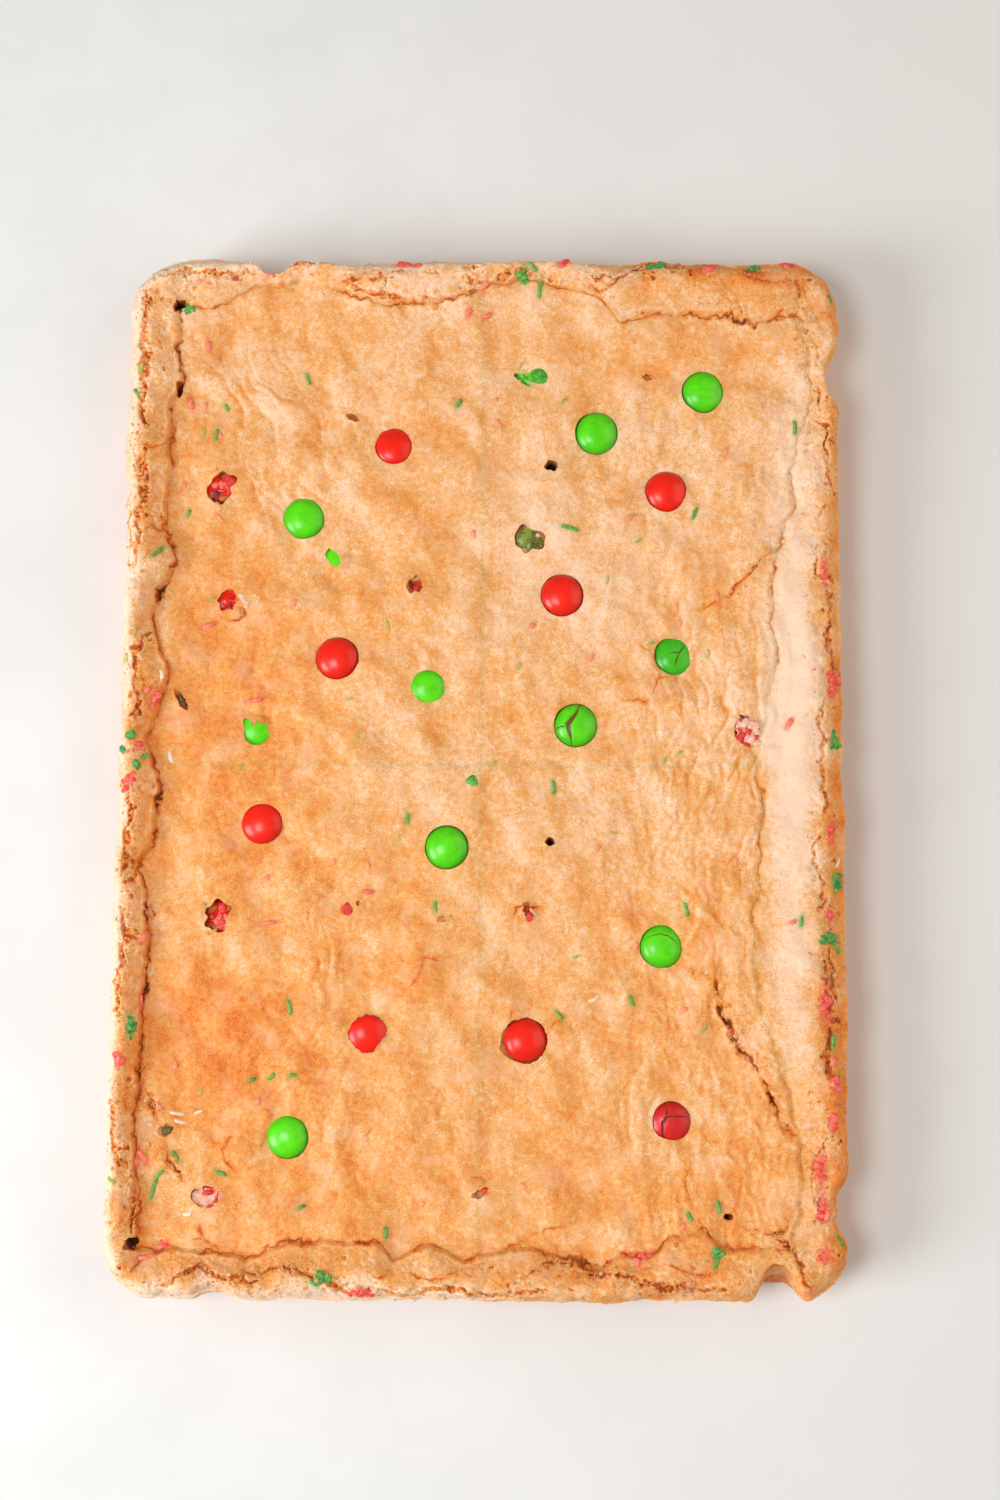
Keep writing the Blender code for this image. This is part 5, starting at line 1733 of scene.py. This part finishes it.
def make_camera():
    """The photograph's viewpoint: nearly straight down from below the slab's middle."""
    data = bpy.data.cameras.new("camera")
    data.lens = LENS
    data.sensor_width = SENSOR_WIDTH
    camera = bpy.data.objects.new("camera", data)
    camera.location = Vector(CAMERA_PLACE) * MM
    camera.rotation_mode = "YXZ"
    camera.rotation_euler = [math.radians(angle) for angle in CAMERA_LEAN]
    bpy.context.scene.collection.objects.link(camera)
    bpy.context.scene.camera = camera


# How many crumbs and flakes lie on the slab
CRUMBS = 2600
FLAKES = 1100

slots = {part["node"]: part["material_slot"] for part in frame["record"]["subparts"]}
make_camera()
make_stage()
crust_paint = crust_finish()
crust = make_crust(crust_paint)

shells = {
    "green_candy": shell_finish("green_shell", GREEN_SHELL, GREEN_DEEP),
    "red_candy": shell_finish("red_shell", RED_SHELL, RED_DEEP),
}
torn_shells = {
    "green_candy": shell_finish("torn_green_shell", GREEN_SHELL, GREEN_DEEP, broken=True),
    "red_candy": shell_finish("torn_red_shell", RED_SHELL, RED_DEEP, broken=True),
}
crackled = bit_finish("crackled_sugar", srgb(250, 222, 205), srgb(228, 66, 58))
lentils = []
for candy in bare:
    sugary = candy.node == "candy_19"
    paint = crackled if sugary else shells[slots[candy.node]]
    if candy.node in DARK_SHELLS:
        paint = shell_finish("dark_" + candy.node, *DARK_SHELLS[candy.node])
    cracks = SHELL_CRACKS.get(candy.node, ())
    lentils.append(make_lentil(candy, paint, cracks, torn=0.3 if sugary else 0.0))
for candy in buried:
    paint = torn_shells[slots[candy.node]]
    if candy.node in DARK_SHELLS:
        paint = shell_finish("dark_" + candy.node, *DARK_SHELLS[candy.node], broken=True)
    lentils.append(make_lentil(candy, paint, torn=0.16))

surface = face_tree(crust + lentils)
green_sugar = sugar_finish("green_sugar", srgb(98, 186, 84), srgb(44, 132, 52))
red_sugar = sugar_finish("red_sugar", srgb(255, 146, 126), srgb(244, 88, 76))
white_sugar = sugar_finish("white_sugar", srgb(250, 240, 225), srgb(240, 220, 190))
make_strands("green_strands", GREEN_STRANDS, green_sugar, surface, 0.1, 0.62, 1)
make_strands("green_faint_strands", GREEN_FAINT, green_sugar, surface, 0.55, 0.84, 2)
make_strands("red_strands", RED_STRANDS, red_sugar, surface, 0.12, 0.62, 3, 1.5)
make_strands("red_faint_strands", RED_FAINT, red_sugar, surface, 0.5, 0.8, 4, 1.7)
make_strands("white_strands", WHITE_STRANDS, white_sugar, surface, 0.2, 0.65, 5)
for name, bits, high, light, deep, slot, seed in (
    ("bright_red_bits", BRIGHT_RED_BITS, 0.7, (240, 84, 70), (212, 34, 28), "red_candy", 41),
    ("shaded_red_bits", SHADED_RED_BITS, 0.7, (150, 30, 24), (84, 16, 12), "red_candy", 42),
    ("green_bits", GREEN_BITS, 0.7, (88, 196, 40), (58, 140, 34), "green_candy", 43),
    ("olive_bits", OLIVE_BITS, 0.7, (140, 132, 64), (76, 66, 32), "green_candy", 46),
    ("cream_bits", CREAM_BITS, 0.5, (248, 216, 190), (240, 172, 146), "crust", 44),
):
    make_bits(name, bits, high, bit_finish(name, srgb(*light), srgb(*deep)), surface, seed)
make_bits("flaps", FLAPS, 0.5, crust_paint, surface, 45, crumb_values)
for name, clusters, light, deep, slot, seed in (
    ("red_chips", RED_CHIPS, (255, 130, 112), (236, 50, 42), "red_candy", 22),
    ("green_chips", GREEN_CHIPS, (112, 190, 84), (34, 124, 54), "green_candy", 24),
):
    finish = bit_finish(name, srgb(*light), srgb(*deep))
    make_bits(name, chips(clusters, seed - 1), 0.6, finish, surface, seed)
rng = np.random.default_rng(31)
grains = crumbly_places(CRUMBS, 1.4, 17)
grain_sizes = 0.14 + 0.34 * rng.random(CRUMBS) ** 2.5
make_grains("crumbs", grains, grain_sizes, 0.5, crust_paint, surface, 25, crumb_values)
flakes = crumbly_places(FLAKES, 2.0, 18)
flake_sizes = 0.4 + 0.8 * rng.random(FLAKES) ** 2
make_flakes("flakes", flakes, flake_sizes, crust_paint, surface, 26)
